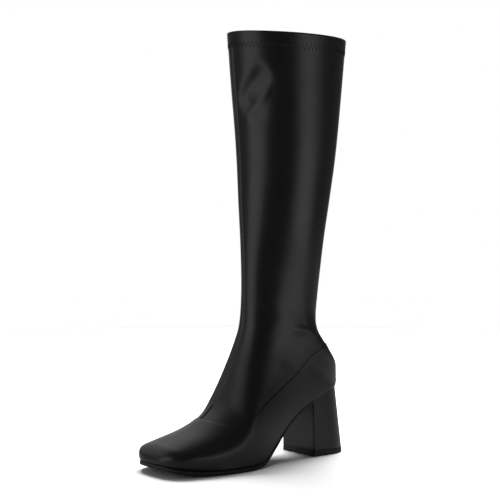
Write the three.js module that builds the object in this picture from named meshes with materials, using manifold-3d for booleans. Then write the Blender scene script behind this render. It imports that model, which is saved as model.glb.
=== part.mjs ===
import * as THREE from "three";
import { mergeVertices } from "three/addons/utils/BufferGeometryUtils.js";
import Module from "manifold-3d";

const wasm = await Module();
wasm.setup();

// Knee-high left boot. Millimetres, toe towards -Y, outer side of the foot towards +X, +Z up.
// The sizes are measured from the back of the heel seat and from the floor.

// Driving sizes of the foot
const footLength = 236; // back of the heel seat to the tip of the toe
const ballWidth = 92;
const instepHeight = 140; // floor to the bend between the foot and the leg
const heelHeight = 72.5; // floor to the heel seat at the back
const toeSpring = 7.5; // lift of the tip above the tread
const toeCornerDepth = 26; // how far back the squared toe reaches its full width
const toeEdgeDepth = 15; // how far back the toe reaches its full height
const heelCurveDepth = 36; // how far forward the rounded heel seat reaches its full width

// Driving sizes of the leg
const bootHeight = 444; // floor to the front of the collar
const collarDepth = 132; // front to back
const collarWidth = 109; // side to side

// Walls and trims
const wall = 1.6;
const lap = 0.6; // the foot part and the hem stand this far proud of the leg
const hemHeight = 15;
const clearance = 0.3;

// Sole and heel
const outsoleThickness = 4;
const waistThickness = 2.2; // outsole at the heel breast
const outsoleLip = 0.7; // edge that shows beyond the upper at the forefoot
const lipStart = 0.54; // share of the length from the heel where the edge begins to show
const lipFull = 0.65; // and where it stands out in full
const insoleThickness = 3;
const insoleGap = 1.3;
const breastAt = 47; // heel breast, forward of the back of the seat
const heelInset = 1.4; // the upper overhangs the heel by this much
const heelBaseWidth = 53.5;
const heelBaseShift = 1; // the base stands this far to the outer side
const heelBackFlare = 5.5; // how far the back of the heel runs out at the floor
const heelBaseCurveDepth = 29;
const topLiftThickness = 5.5;

// Fineness of the solids
const columnsPerSide = 18;
const legStations = 17;
const footStations = 22;
const toeStations = 7;
const heelStations = 7;
const seamSteps = 48;
const arcSteps = 60;
const mergeDistance = 1e-4;
const shortestStep = 1; // between two points of an outline

// Natural cubic spline through values at rising places
function spline(places, values) {
  const count = places.length;
  const step = (i) => places[i + 1] - places[i];
  const diagonal = new Array(count).fill(1);
  const right = new Array(count).fill(0);
  const upper = new Array(count).fill(0);
  for (let i = 1; i < count - 1; i++) {
    const before = step(i - 1);
    const after = step(i);
    const bend = 6 * ((values[i + 1] - values[i]) / after - (values[i] - values[i - 1]) / before);
    const pivot = 2 * (before + after) - before * upper[i - 1];
    diagonal[i] = pivot;
    upper[i] = after / pivot;
    right[i] = (bend - before * right[i - 1]) / pivot;
  }
  const curve = new Array(count).fill(0);
  for (let i = count - 2; i > 0; i--) {
    curve[i] = right[i] - upper[i] * curve[i + 1];
  }
  return (at) => {
    let i = 0;
    while (i < count - 2 && at > places[i + 1]) i++;
    const h = step(i);
    const a = places[i + 1] - at;
    const b = at - places[i];
    const ends = (curve[i] * a ** 3 + curve[i + 1] * b ** 3) / (6 * h);
    return ends + (values[i] / h - (curve[i] * h) / 6) * a + (values[i + 1] / h - (curve[i + 1] * h) / 6) * b;
  };
}

// Curve that never overshoots its rows, so that a level stretch stays level. Its first slope is that
// of the first step, or a given one.
function levelCurve(places, values, firstSlope) {
  const count = places.length;
  const slopes = [];
  for (let i = 0; i < count - 1; i++) {
    slopes.push((values[i + 1] - values[i]) / (places[i + 1] - places[i]));
  }
  const tangents = values.map((_, i) => {
    if (i === 0) return firstSlope ?? slopes[0];
    if (i === count - 1) return slopes[count - 2];
    const product = slopes[i - 1] * slopes[i];
    return product <= 0 ? 0 : (2 * product) / (slopes[i - 1] + slopes[i]);
  });
  return (at) => {
    let i = 0;
    while (i < count - 2 && at > places[i + 1]) i++;
    const h = places[i + 1] - places[i];
    const t = (at - places[i]) / h;
    const from = values[i] * (1 + 2 * t) * (1 - t) ** 2 + tangents[i] * h * t * (1 - t) ** 2;
    const to = values[i + 1] * t * t * (3 - 2 * t) + tangents[i + 1] * h * t * t * (t - 1);
    return from + to;
  };
}

function columnsOf(names, rows) {
  return rows.map((row) => Object.fromEntries(names.map((name, i) => [name, row[i]])));
}

// Feather line, where the upper meets the sole. at: share of the length from the heel.
// seat: share of the heel height. toe: share of the toe spring. Both stand on the outsole.
// outer, inner: half widths as shares of the ball width.
const featherRows = columnsOf(
  ["at", "seat", "toe", "outer", "inner"],
  [
    [0.0, 1.0, 0, 0.245, 0.242],
    [0.1, 0.953, 0, 0.27, 0.265],
    [0.2, 0.823, 0, 0.296, 0.276],
    [0.3, 0.655, 0, 0.318, 0.258],
    [0.38, 0.457, 0, 0.352, 0.252],
    [0.46, 0.21, 0, 0.405, 0.29],
    [0.54, 0.034, 0, 0.47, 0.352],
    [0.62, 0, 0, 0.502, 0.408],
    [0.74, 0, 0, 0.496, 0.436],
    [0.84, 0, 0.13, 0.452, 0.424],
    [0.92, 0, 0.42, 0.396, 0.392],
    [1.0, 0, 1, 0.335, 0.332],
  ],
);

// Sections from the tip of the toe to the bend. Each lies in the plane through its ridge point,
// its base point and the X axis. ridge, base: shares of the length from the heel.
// rise: share of the instep height. outer, inner, shift: shares of the ball width, and so is
// crownDepth, from the ridge down to the widest place. crown, side: roundness above and below it.
const footRows = columnsOf(
  ["ridge", "rise", "base", "outer", "inner", "shift", "crownDepth", "crown", "side"],
  [
    [1, 0.189, 1, 0.345, 0.375, -0.03, 0.096, 3.2, 3],
    [0.943, 0.199, 0.938, 0.4, 0.405, -0.03, 0.133, 3, 2.8],
    [0.87, 0.232, 0.87, 0.448, 0.43, -0.032, 0.187, 2.75, 2.6],
    [0.785, 0.276, 0.797, 0.484, 0.443, -0.038, 0.25, 2.5, 2.45],
    [0.711, 0.334, 0.72, 0.498, 0.438, -0.042, 0.315, 2.36, 2.37],
    [0.654, 0.409, 0.638, 0.501, 0.424, -0.043, 0.359, 2.34, 2.32],
    [0.621, 0.507, 0.552, 0.485, 0.391, -0.041, 0.386, 2.4, 2.28],
    [0.593, 0.614, 0.458, 0.439, 0.355, -0.037, 0.397, 2.46, 2.25],
    [0.567, 0.721, 0.356, 0.383, 0.329, -0.03, 0.408, 2.5, 2.23],
    [0.543, 0.821, 0.244, 0.345, 0.316, -0.02, 0.44, 2.5, 2.22],
    [0.523, 0.914, 0.124, 0.326, 0.313, -0.01, 0.495, 2.48, 2.25],
    [0.508, 1, 0, 0.321, 0.314, 0, 0.56, 2.43, 2.35],
  ],
);

// Sections of the leg, from the bend to the collar. front: share of the length from the heel.
// depth: share of the collar depth. frontRise, backRise: shares of the way from the bend, and from
// the heel seat, to the collar. outer, inner: shares of the collar width. crownDepth: share of the
// collar depth.
const legRows = columnsOf(
  ["front", "frontRise", "depth", "backRise", "outer", "inner", "crownDepth", "crown", "side"],
  [
    [0.5, 0.046, 0.875, 0.048, 0.272, 0.269, 0.424, 2.37, 2.68],
    [0.497, 0.099, 0.755, 0.105, 0.273, 0.272, 0.439, 2.28, 3.3],
    [0.497, 0.155, 0.666, 0.157, 0.271, 0.272, 0.443, 2.2, 2.45],
    [0.497, 0.214, 0.648, 0.208, 0.283, 0.281, 0.432, 2.16, 2.25],
    [0.497, 0.283, 0.662, 0.263, 0.306, 0.302, 0.42, 2.12, 2.2],
    [0.496, 0.362, 0.681, 0.332, 0.344, 0.339, 0.409, 2.1, 2.1],
    [0.496, 0.454, 0.706, 0.423, 0.384, 0.38, 0.404, 2.1, 2.1],
    [0.497, 0.562, 0.753, 0.534, 0.424, 0.42, 0.408, 2.1, 2.1],
    [0.506, 0.691, 0.826, 0.666, 0.459, 0.454, 0.423, 2.1, 2.1],
    [0.525, 0.836, 0.911, 0.822, 0.483, 0.479, 0.449, 2.1, 2.1],
    [0.545, 1, 1, 1, 0.503, 0.497, 0.485, 2.1, 2.1],
  ],
);
const collarDrop = 6; // the back of the collar lies this much lower than its front
const bend = footRows.length - 1;
const collar = bend + legRows.length;

// The seam between the foot part and the leg, seen from the side. at: share of the length from the
// heel. rise: share of the instep height.
const seamRows = columnsOf(
  ["at", "rise"],
  [
    [0.7, 0.591],
    [0.706, 0.444],
    [0.713, 0.362],
    [0.704, 0.33],
    [0.673, 0.319],
    [0.64, 0.334],
    [0.6, 0.37],
    [0.55, 0.42],
    [0.5, 0.469],
    [0.44, 0.522],
    [0.38, 0.577],
    [0.31, 0.646],
    [0.26, 0.717],
    [0.2, 0.788],
    [0.13, 0.843],
    [0.05, 0.875],
    [-0.1, 0.895],
  ],
);

const featherPlaces = featherRows.map((row) => row.at);
const treadTop = outsoleThickness + clearance;
const soleTop = levelCurve(
  featherPlaces,
  featherRows.map((row) => treadTop + row.seat * (heelHeight - treadTop) + row.toe * toeSpring),
);
const outerPlan = spline(featherPlaces, featherRows.map((row) => row.outer * ballWidth));
const innerPlan = spline(featherPlaces, featherRows.map((row) => row.inner * ballWidth));

// A quarter superellipse: how full the form is at this distance from its end
function fullness(distance, depth, roundness) {
  const left = 1 - Math.min(1, Math.max(0, distance) / depth);
  return (1 - left ** roundness) ** (1 / roundness);
}

const toePlanRoundness = 3;
const toeEdgeRoundness = 2.2;
const heelRoundness = 2.2;

// Half widths of the feather line at a distance from the back of the seat
function featherAt(distance) {
  const share = distance / footLength;
  const ends =
    fullness(footLength - distance, toeCornerDepth, toePlanRoundness) *
    fullness(distance, heelCurveDepth, heelRoundness);
  return { height: soleTop(share), outer: outerPlan(share) * ends, inner: innerPlan(share) * ends };
}

const rows = [
  ...footRows.map((row) => ({
    frontY: -row.ridge * footLength,
    frontZ: row.rise * instepHeight,
    backY: -row.base * footLength,
    backZ: heelHeight,
    outer: row.outer * ballWidth,
    inner: row.inner * ballWidth,
    shift: row.shift * ballWidth,
    crownDepth: row.crownDepth * ballWidth,
    crown: row.crown,
    side: row.side,
  })),
  ...legRows.map((row) => ({
    frontY: -row.front * footLength,
    frontZ: instepHeight + row.frontRise * (bootHeight - instepHeight),
    backY: -row.front * footLength + row.depth * collarDepth,
    backZ: heelHeight + row.backRise * (bootHeight - collarDrop - heelHeight),
    outer: row.outer * collarWidth,
    inner: row.inner * collarWidth,
    shift: 0,
    crownDepth: row.crownDepth * collarDepth,
    crown: row.crown,
    side: row.side,
  })),
];
const rowNumbers = rows.map((_, i) => i);
const rowCurves = Object.fromEntries(
  Object.keys(rows[0])
    .filter((key) => key !== "backY" && key !== "backZ")
    .map((key) => [key, spline(rowNumbers, rows.map((row) => row[key]))]),
);
// The base of the sections comes to rest at the back of the seat, where it turns from the feather
// line up the back of the boot, so that the sides of the form have no ridge there
rowCurves.backY = levelCurve(rowNumbers, rows.map((row) => row.backY));
const backHeight = levelCurve(rowNumbers.slice(bend), rows.slice(bend).map((row) => row.backZ), 0);

// Least width of a section, and least share by which its widest place exceeds its base
const hair = 1e-4;

// Points of one side of a section, from the ridge down to the base, evenly spaced along it
function halfSection(section, side) {
  const shifted = side > 0 ? section.outer - section.shift : section.inner + section.shift;
  const baseHalf = side > 0 ? section.outerBase - section.shift : section.innerBase + section.shift;
  const base = Math.max(0, section.open ? baseHalf : 0);
  const width = Math.max(shifted, base * (1 + hair), hair);
  const ratio = base / width;
  const reach = (1 - section.widest) / (1 - ratio ** section.side) ** (1 / section.side);
  const last = Math.acos(ratio ** (section.side / 2));
  const path = [];
  for (let i = 0; i <= arcSteps; i++) {
    const angle = (i / arcSteps) * (Math.PI / 2);
    const power = 2 / section.crown;
    path.push([width * Math.sin(angle) ** power, section.widest * (1 - Math.cos(angle) ** power)]);
  }
  for (let i = 1; i <= arcSteps; i++) {
    const angle = (i / arcSteps) * last;
    const power = 2 / section.side;
    path.push([width * Math.cos(angle) ** power, section.widest + reach * Math.sin(angle) ** power]);
  }
  const points = path.map(([out, down]) => [
    section.shift + side * out,
    section.frontY + (section.backY - section.frontY) * down,
    section.frontZ + (section.backZ - section.frontZ) * down,
  ]);
  return spread(points, columnsPerSide + 1);
}

function spread(points, count) {
  const lengths = [0];
  for (let i = 1; i < points.length; i++) {
    lengths.push(lengths[i - 1] + Math.hypot(...points[i].map((value, k) => value - points[i - 1][k])));
  }
  const result = [];
  let i = 0;
  for (let n = 0; n < count; n++) {
    const want = (n / (count - 1)) * lengths.at(-1);
    while (i < points.length - 2 && lengths[i + 1] < want) i++;
    const gap = lengths[i + 1] - lengths[i];
    const t = gap > 0 ? (want - lengths[i]) / gap : 0;
    result.push(points[i].map((value, k) => value + (points[i + 1][k] - value) * t));
  }
  return result;
}

// One section of the outer form, from the base on the outer side over the ridge to the inner side
function sectionAt(station) {
  const section = Object.fromEntries(Object.entries(rowCurves).map(([key, curve]) => [key, curve(station)]));
  section.open = station < bend;
  const feather = featherAt(-section.backY);
  section.backZ = station <= bend ? feather.height : backHeight(station);
  const length = Math.hypot(section.backY - section.frontY, section.backZ - section.frontZ);
  section.widest = section.crownDepth / length;
  if (station <= bend) {
    const fromTip = footLength + section.backY;
    const fullWidth = fullness(fromTip, toeCornerDepth, toePlanRoundness);
    section.outerBase = feather.outer;
    section.innerBase = feather.inner;
    section.outer *= fullWidth;
    section.inner *= fullWidth;
    section.shift *= fullWidth;
    section.frontZ =
      feather.height + (section.frontZ - feather.height) * fullness(fromTip, toeEdgeDepth, toeEdgeRoundness);
  }
  const outer = halfSection(section, 1);
  const inner = halfSection(section, -1);
  return [...outer.reverse(), ...inner.slice(1)];
}

// Stations along the form: close together where the toe and the heel close
function stationList() {
  const toeRows = toeCornerDepth / (footLength * (footRows[0].base - footRows[1].base));
  const stations = [];
  for (let i = 0; i < toeStations; i++) {
    const angle = (i / toeStations) * (Math.PI / 2);
    stations.push(toeRows * (1 - Math.cos(angle) ** (2 / toePlanRoundness)));
  }
  const heelStart = bend - 1;
  for (let i = 0; i < footStations; i++) {
    stations.push(toeRows + ((heelStart - toeRows) * i) / footStations);
  }
  for (let i = 0; i < heelStations; i++) {
    stations.push(heelStart + i / heelStations);
  }
  for (let i = 0; i <= legStations; i++) {
    stations.push(bend + ((collar - bend) * i) / legStations);
  }
  return stations;
}

const stations = stationList();
const form = stations.map(sectionAt);
const lastColumn = 2 * columnsPerSide;

function unit(vector) {
  const length = Math.hypot(...vector) || 1;
  return vector.map((value) => value / length);
}

function cross(a, b) {
  return [a[1] * b[2] - a[2] * b[1], a[2] * b[0] - a[0] * b[2], a[0] * b[1] - a[1] * b[0]];
}

function minus(a, b) {
  return a.map((value, i) => value - b[i]);
}

// Outward normal of the form at a station and column. On the feather line it lies level.
function normalAt(i, j) {
  if (i === 0) return [0, -1, 0];
  const closed = stations[i] >= bend;
  const before = closed && j === 0 ? form[i][lastColumn - 1] : form[i][Math.max(0, j - 1)];
  const after = closed && j === lastColumn ? form[i][1] : form[i][Math.min(lastColumn, j + 1)];
  const next = form[Math.min(form.length - 1, i + 1)];
  const alongAt = (column) => minus(next[column], form[i - 1][column]);
  const atBack = closed && (j === 0 || j === lastColumn);
  const along = atBack ? alongAt(0).map((value, k) => value + alongAt(lastColumn)[k]) : alongAt(j);
  const normal = unit(cross(along, minus(after, before)));
  const onFeather = stations[i] <= bend && (j === 0 || j === lastColumn);
  return onFeather ? unit([normal[0], normal[1], 0]) : normal;
}

const normals = form.map((section, i) => section.map((_, j) => normalAt(i, j)));

// Closed body from points and faces; faces of four points are split, and faces of no area are left out
function solidOf(points, faces) {
  const geometry = new THREE.BufferGeometry();
  geometry.setAttribute("position", new THREE.Float32BufferAttribute(points.flat(), 3));
  const triangles = faces.flatMap(([a, b, c, d]) => (d === undefined ? [a, b, c] : [a, b, c, a, c, d]));
  geometry.setIndex(triangles);
  return solidOfGeometry(geometry);
}

function solidOfGeometry(geometry) {
  geometry.deleteAttribute("normal");
  geometry.deleteAttribute("uv");
  const merged = mergeVertices(geometry, mergeDistance);
  const index = merged.index.array;
  const kept = [];
  for (let i = 0; i < index.length; i += 3) {
    const [a, b, c] = [index[i], index[i + 1], index[i + 2]];
    if (a !== b && b !== c && c !== a) kept.push(a, b, c);
  }
  return new wasm.Manifold(
    new wasm.Mesh({
      numProp: 3,
      vertProperties: new Float32Array(merged.attributes.position.array),
      triVerts: new Uint32Array(kept),
    }),
  );
}

// The form moved out by an offset. drop and rise carry its open ends further, so that it can cut
// a wall without leaving a skin.
function formSolid(offset, drop = 0, rise = 0) {
  const sections = form.map((section, i) =>
    section.map((point, j) => point.map((value, k) => value + normals[i][j][k] * offset)),
  );
  const openCount = stations.filter((station) => station <= bend).length;
  const points = sections.flat();
  const at = (i, j) => i * (lastColumn + 1) + j;
  const faces = [];
  for (let i = 0; i < sections.length - 1; i++) {
    for (let j = 0; j < lastColumn; j++) {
      faces.push([at(i, j), at(i + 1, j), at(i + 1, j + 1), at(i, j + 1)]);
    }
  }
  // underneath, straight across from one feather line to the other
  const lower = points.length;
  for (let i = 0; i < openCount; i++) {
    for (const j of [0, lastColumn]) {
      const [x, y, z] = sections[i][j];
      points.push([x, y, z - drop]);
    }
  }
  for (let i = 0; i < openCount - 1; i++) {
    const [outer, inner, nextOuter, nextInner] = [0, 1, 2, 3].map((k) => lower + 2 * i + k);
    faces.push([outer, inner, nextInner, nextOuter]);
    faces.push([at(i + 1, 0), at(i, 0), outer, nextOuter]);
    faces.push([at(i, lastColumn), at(i + 1, lastColumn), nextInner, inner]);
  }
  // across the collar
  const top = sections.length - 1;
  const rim = points.length;
  points.push(...sections[top].slice(0, lastColumn).map(([x, y, z]) => [x, y, z + rise]));
  const centre = points.length;
  points.push([0, 1, 2].map((k) => points.slice(rim, centre).reduce((sum, p) => sum + p[k], 0) / lastColumn));
  for (let j = 0; j < lastColumn; j++) {
    const next = (j + 1) % lastColumn;
    faces.push([rim + next, rim + j, centre]);
    faces.push([at(top, next), at(top, j), rim + j, rim + next]);
  }
  return solidOf(points, faces);
}

// Prism right across the boot from an outline in the Y-Z plane
function sidePrism(outline) {
  const shape = new THREE.Shape(outline.map(([y, z]) => new THREE.Vector2(y, z)));
  const across = 3 * Math.max(ballWidth, collarWidth);
  const geometry = new THREE.ExtrudeGeometry(shape, { depth: across, bevelEnabled: false, steps: 1 });
  geometry.translate(0, 0, -across / 2);
  const [alongX, alongY, alongZ] = [
    new THREE.Vector3(1, 0, 0),
    new THREE.Vector3(0, 1, 0),
    new THREE.Vector3(0, 0, 1),
  ];
  geometry.applyMatrix4(new THREE.Matrix4().makeBasis(alongY, alongZ, alongX));
  return solidOfGeometry(geometry);
}

// Everything on the toe side of the seam line, moved up by a gap
function footSide(gap) {
  const line = seamRows.map((row) => new THREE.Vector2(-row.at * footLength, row.rise * instepHeight + gap));
  const curve = new THREE.SplineCurve(line).getPoints(seamSteps).map((point) => [point.x, point.y]);
  const ahead = -(footLength + collarDepth);
  const [backY] = curve.at(-1);
  const below = -heelHeight;
  return sidePrism([[ahead, below], [backY, below], ...curve.reverse(), [ahead, curve.at(-1)[1]]]);
}

// Everything above the lower edge of the hem, which runs level with the collar
function hemSide() {
  const front = rows[collar].frontY;
  const slope = -collarDrop / (rows[collar].backY - front);
  const edge = (y) => bootHeight - hemHeight + (y - front) * slope;
  const [ahead, behind, above] = [front - collarDepth, front + 2 * collarDepth, 2 * bootHeight];
  return sidePrism([[ahead, edge(ahead)], [behind, edge(behind)], [behind, above], [ahead, above]]);
}

// Outline of the feather line moved out by an offset that may vary with the distance from the heel:
// pairs of an outer and an inner point, from the tip towards the heel
function outlinePairs(offsetAt, distances) {
  const small = footLength * 1e-4;
  const side = (distance, sign) => {
    const halfAt = (d) => (sign > 0 ? featherAt(d).outer : -featherAt(d).inner);
    const offset = offsetAt(distance);
    if (distance >= footLength) return [0, -footLength - offset];
    if (distance <= 0) return [0, offset];
    const ahead = Math.min(footLength, distance + small);
    const behind = Math.max(0, distance - small);
    const [nx, ny] = unit([sign * (ahead - behind), sign * (halfAt(ahead) - halfAt(behind))]);
    return [halfAt(distance) + nx * offset, -distance + ny * offset];
  };
  return distances.map((distance) => [side(distance, 1), side(distance, -1)]);
}

// Plate between two heights over pairs of outline points. An end whose two points differ gets a face.
function plate(pairs, topAt, bottomAt) {
  const points = [];
  for (const pair of pairs) {
    for (const [x, y] of pair) points.push([x, y, topAt(y)]);
    for (const [x, y] of pair) points.push([x, y, bottomAt(y)]);
  }
  return stripSolid(points, pairs.length);
}

// Body from rows of four points: outer top, inner top, outer bottom, inner bottom
function stripSolid(points, count) {
  const faces = [];
  for (let i = 0; i < count - 1; i++) {
    const [a, b, c, d] = [4 * i, 4 * i + 1, 4 * i + 2, 4 * i + 3];
    const next = 4;
    faces.push([a, a + next, b + next, b]);
    faces.push([d, d + next, c + next, c]);
    faces.push([c, c + next, a + next, a]);
    faces.push([b, b + next, d + next, d]);
  }
  const last = 4 * (count - 1);
  faces.push([0, 1, 3, 2]);
  faces.push([last + 1, last, last + 2, last + 3]);
  return solidOf(points, faces);
}

// Distances from the heel at which the form has its sections, the tip first
const featherDistances = stations
  .filter((station) => station <= bend)
  .map((station) => Math.min(footLength, Math.max(0, -rowCurves.backY(station))));

const seatAt = (y) => soleTop(-y / footLength);
const outsoleTop = (y) => seatAt(y) - clearance;

function makeOutsole() {
  const end = breastAt + clearance;
  const [from, full] = [lipStart * footLength, lipFull * footLength];
  const thickness = levelCurve(
    [breastAt, from, footLength],
    [waistThickness, outsoleThickness, outsoleThickness],
  );
  const lip = levelCurve([breastAt, from, full, footLength], [0, 0, outsoleLip, outsoleLip]);
  const ahead = featherDistances.filter((distance) => distance > end + shortestStep);
  const distances = [...ahead, end];
  const pairs = outlinePairs((distance) => lap + lip(distance), distances);
  return plate(pairs, outsoleTop, (y) => outsoleTop(y) - thickness(-y));
}

function makeInsole() {
  // the back of the boot leans forward over the seat, so the insole draws in below it
  const lean = (rows[bend].backY - rows[bend + 1].backY) / (rows[bend + 1].backZ - rows[bend].backZ);
  const draw = (distance) => Math.max(0, 1 - distance / heelCurveDepth) * Math.max(0, lean) * insoleThickness;
  const pairs = outlinePairs((distance) => -(wall + insoleGap + draw(distance)), featherDistances);
  return plate(pairs, (y) => seatAt(y) + insoleThickness, seatAt);
}

// Outlines of the heel at the seat and at the floor, matched point for point
const behindBreast = featherDistances.filter((distance) => distance < breastAt - shortestStep);
const heelDistances = [breastAt, ...behindBreast];
const heelSeat = outlinePairs(() => lap - heelInset, heelDistances).map((pair) =>
  pair.map(([x, y]) => [x, y, outsoleTop(y)]),
);
const heelFloor = heelDistances.map((distance) => {
  const stretch = (breastAt + heelBackFlare) / breastAt;
  const full = fullness(distance * stretch, heelBaseCurveDepth, heelRoundness);
  const half = (heelBaseWidth / 2) * full;
  const y = heelBackFlare - distance * stretch;
  return [
    [heelBaseShift * full + half, y, 0],
    [heelBaseShift * full - half, y, 0],
  ];
});

// Ring of the heel at a height above the floor
function heelAt(height) {
  return heelFloor.map((pair, i) =>
    pair.map((point, side) => {
      const share = height / heelSeat[i][side][2];
      return point.map((value, k) => value + (heelSeat[i][side][k] - value) * share);
    }),
  );
}

function between(upperRing, lowerRing) {
  return stripSolid(upperRing.flatMap((pair, i) => [...pair, ...lowerRing[i]]), upperRing.length);
}

const makeHeel = () => between(heelSeat, heelAt(topLiftThickness + clearance));
const makeTopLift = () => between(heelAt(topLiftThickness), heelFloor);

const inside = formSolid(-wall, 2 * heelCurveDepth, hemHeight);
const seamGap = clearance * Math.SQRT2;

function makeUpper() {
  return formSolid(lap).intersect(footSide(0)).subtract(inside);
}

function makeShaft() {
  const hem = formSolid(lap).intersect(hemSide());
  return formSolid(0).subtract(footSide(seamGap)).add(hem).subtract(inside);
}

const materials = {
  leather: { color: 0x191919, roughness: 0.42, metalness: 0 },
  stretchLeather: { color: 0x151515, roughness: 0.4, metalness: 0 },
  lining: { color: 0x2a2725, roughness: 0.9, metalness: 0 },
  rubber: { color: 0x121212, roughness: 0.6, metalness: 0 },
};

function piece(name, solid, material) {
  const mesh = solid.getMesh();
  const geometry = new THREE.BufferGeometry();
  geometry.setAttribute("position", new THREE.BufferAttribute(new Float32Array(mesh.vertProperties), 3));
  geometry.setIndex(new THREE.BufferAttribute(new Uint32Array(mesh.triVerts), 1));
  const node = new THREE.Mesh(geometry, new THREE.MeshStandardMaterial(materials[material]));
  node.name = name;
  return node;
}

const boot = new THREE.Group();
boot.add(
  piece("upper", makeUpper(), "leather"),
  piece("shaft", makeShaft(), "stretchLeather"),
  piece("insole", makeInsole(), "lining"),
  piece("outsole", makeOutsole(), "rubber"),
  piece("heel", makeHeel(), "leather"),
  piece("top_lift", makeTopLift(), "rubber"),
);

// The origin is the middle of the footprint, on the floor
const extent = new THREE.Box3().setFromObject(boot);
const middle = extent.getCenter(new THREE.Vector3());
boot.position.set(-middle.x, -middle.y, -extent.min.z);

export default boot;
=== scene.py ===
import math

import bpy
import numpy as np
from mathutils import Matrix, Vector


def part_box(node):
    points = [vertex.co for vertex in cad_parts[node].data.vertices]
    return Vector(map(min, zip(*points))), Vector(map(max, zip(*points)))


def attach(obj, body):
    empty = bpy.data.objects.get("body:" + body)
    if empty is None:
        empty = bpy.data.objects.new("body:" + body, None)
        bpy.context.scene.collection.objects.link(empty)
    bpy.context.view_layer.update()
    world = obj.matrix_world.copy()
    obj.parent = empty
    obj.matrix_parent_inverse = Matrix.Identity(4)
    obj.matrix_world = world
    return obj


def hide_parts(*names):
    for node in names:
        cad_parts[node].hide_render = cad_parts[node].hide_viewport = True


# Knee-high left boot: squared toe, smooth stretch leg with a folded hem, flared block heel.
# Shapes are worked out in millimetres on the boot's own form, measured from the back of the heel
# seat and from the floor, with the toe towards -Y. They are moved to the frame at the end.

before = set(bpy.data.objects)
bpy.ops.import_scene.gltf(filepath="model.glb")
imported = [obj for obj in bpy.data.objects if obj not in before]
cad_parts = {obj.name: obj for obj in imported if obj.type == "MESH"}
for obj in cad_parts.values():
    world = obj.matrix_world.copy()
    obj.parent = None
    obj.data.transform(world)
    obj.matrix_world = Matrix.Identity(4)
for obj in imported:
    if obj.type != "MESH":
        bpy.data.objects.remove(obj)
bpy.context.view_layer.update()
print("solids loaded:", ", ".join(sorted(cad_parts)))

millimetre = 0.001

lastForm = {
    "footLength": 236,  # back of the heel seat to the tip of the toe
    "ballWidth": 92,
    "instepHeight": 140,  # floor to the bend between foot and leg
    "heelHeight": 72.5,
    "toeSpring": 7.5,
    "toeCornerDepth": 26,
    "toeEdgeDepth": 15,
    "heelCurveDepth": 36,
    "bootHeight": 444,
    "collarDepth": 132,
    "collarWidth": 109,
    "collarDrop": 6,  # the back of the collar lies lower by this
    "toePlanRoundness": 3,
    "toeEdgeRoundness": 2.2,
    "heelRoundness": 2.2,
    "wall": 1.6,
    "lap": 0.6,  # the foot part and the hem stand proud of the leg by this
    "clearance": 0.3,
}
footLength = lastForm["footLength"]
ballWidth = lastForm["ballWidth"]
instepHeight = lastForm["instepHeight"]
bootHeight = lastForm["bootHeight"]
collarDepth = lastForm["collarDepth"]
collarWidth = lastForm["collarWidth"]
lap = lastForm["lap"]
clearance = lastForm["clearance"]

# Feather line, where the upper meets the sole: share of the length from the heel, share of the heel
# height, share of the toe spring, outer and inner half width as shares of the ball width
featherRows = [
    (0.0, 1.0, 0, 0.245, 0.242),
    (0.1, 0.953, 0, 0.27, 0.265),
    (0.2, 0.823, 0, 0.296, 0.276),
    (0.3, 0.655, 0, 0.318, 0.258),
    (0.38, 0.457, 0, 0.352, 0.252),
    (0.46, 0.21, 0, 0.405, 0.29),
    (0.54, 0.034, 0, 0.47, 0.352),
    (0.62, 0, 0, 0.502, 0.408),
    (0.74, 0, 0, 0.496, 0.436),
    (0.84, 0, 0.13, 0.452, 0.424),
    (0.92, 0, 0.42, 0.396, 0.392),
    (1.0, 0, 1, 0.335, 0.332),
]

# Foot sections from the tip to the bend: ridge, rise, base, outer, inner, shift, depth from the
# ridge to the widest place, roundness above and below it
footRows = [
    (1, 0.189, 1, 0.345, 0.375, -0.03, 0.096, 3.2, 3),
    (0.943, 0.199, 0.938, 0.4, 0.405, -0.03, 0.133, 3, 2.8),
    (0.87, 0.232, 0.87, 0.448, 0.43, -0.032, 0.187, 2.75, 2.6),
    (0.785, 0.276, 0.797, 0.484, 0.443, -0.038, 0.25, 2.5, 2.45),
    (0.711, 0.334, 0.72, 0.498, 0.438, -0.042, 0.315, 2.36, 2.37),
    (0.654, 0.409, 0.638, 0.501, 0.424, -0.043, 0.359, 2.34, 2.32),
    (0.621, 0.507, 0.552, 0.485, 0.391, -0.041, 0.386, 2.4, 2.28),
    (0.593, 0.614, 0.458, 0.439, 0.355, -0.037, 0.397, 2.46, 2.25),
    (0.567, 0.721, 0.356, 0.383, 0.329, -0.03, 0.408, 2.5, 2.23),
    (0.543, 0.821, 0.244, 0.345, 0.316, -0.02, 0.44, 2.5, 2.22),
    (0.523, 0.914, 0.124, 0.326, 0.313, -0.01, 0.495, 2.48, 2.25),
    (0.508, 1, 0, 0.321, 0.314, 0, 0.56, 2.43, 2.35),
]

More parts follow.
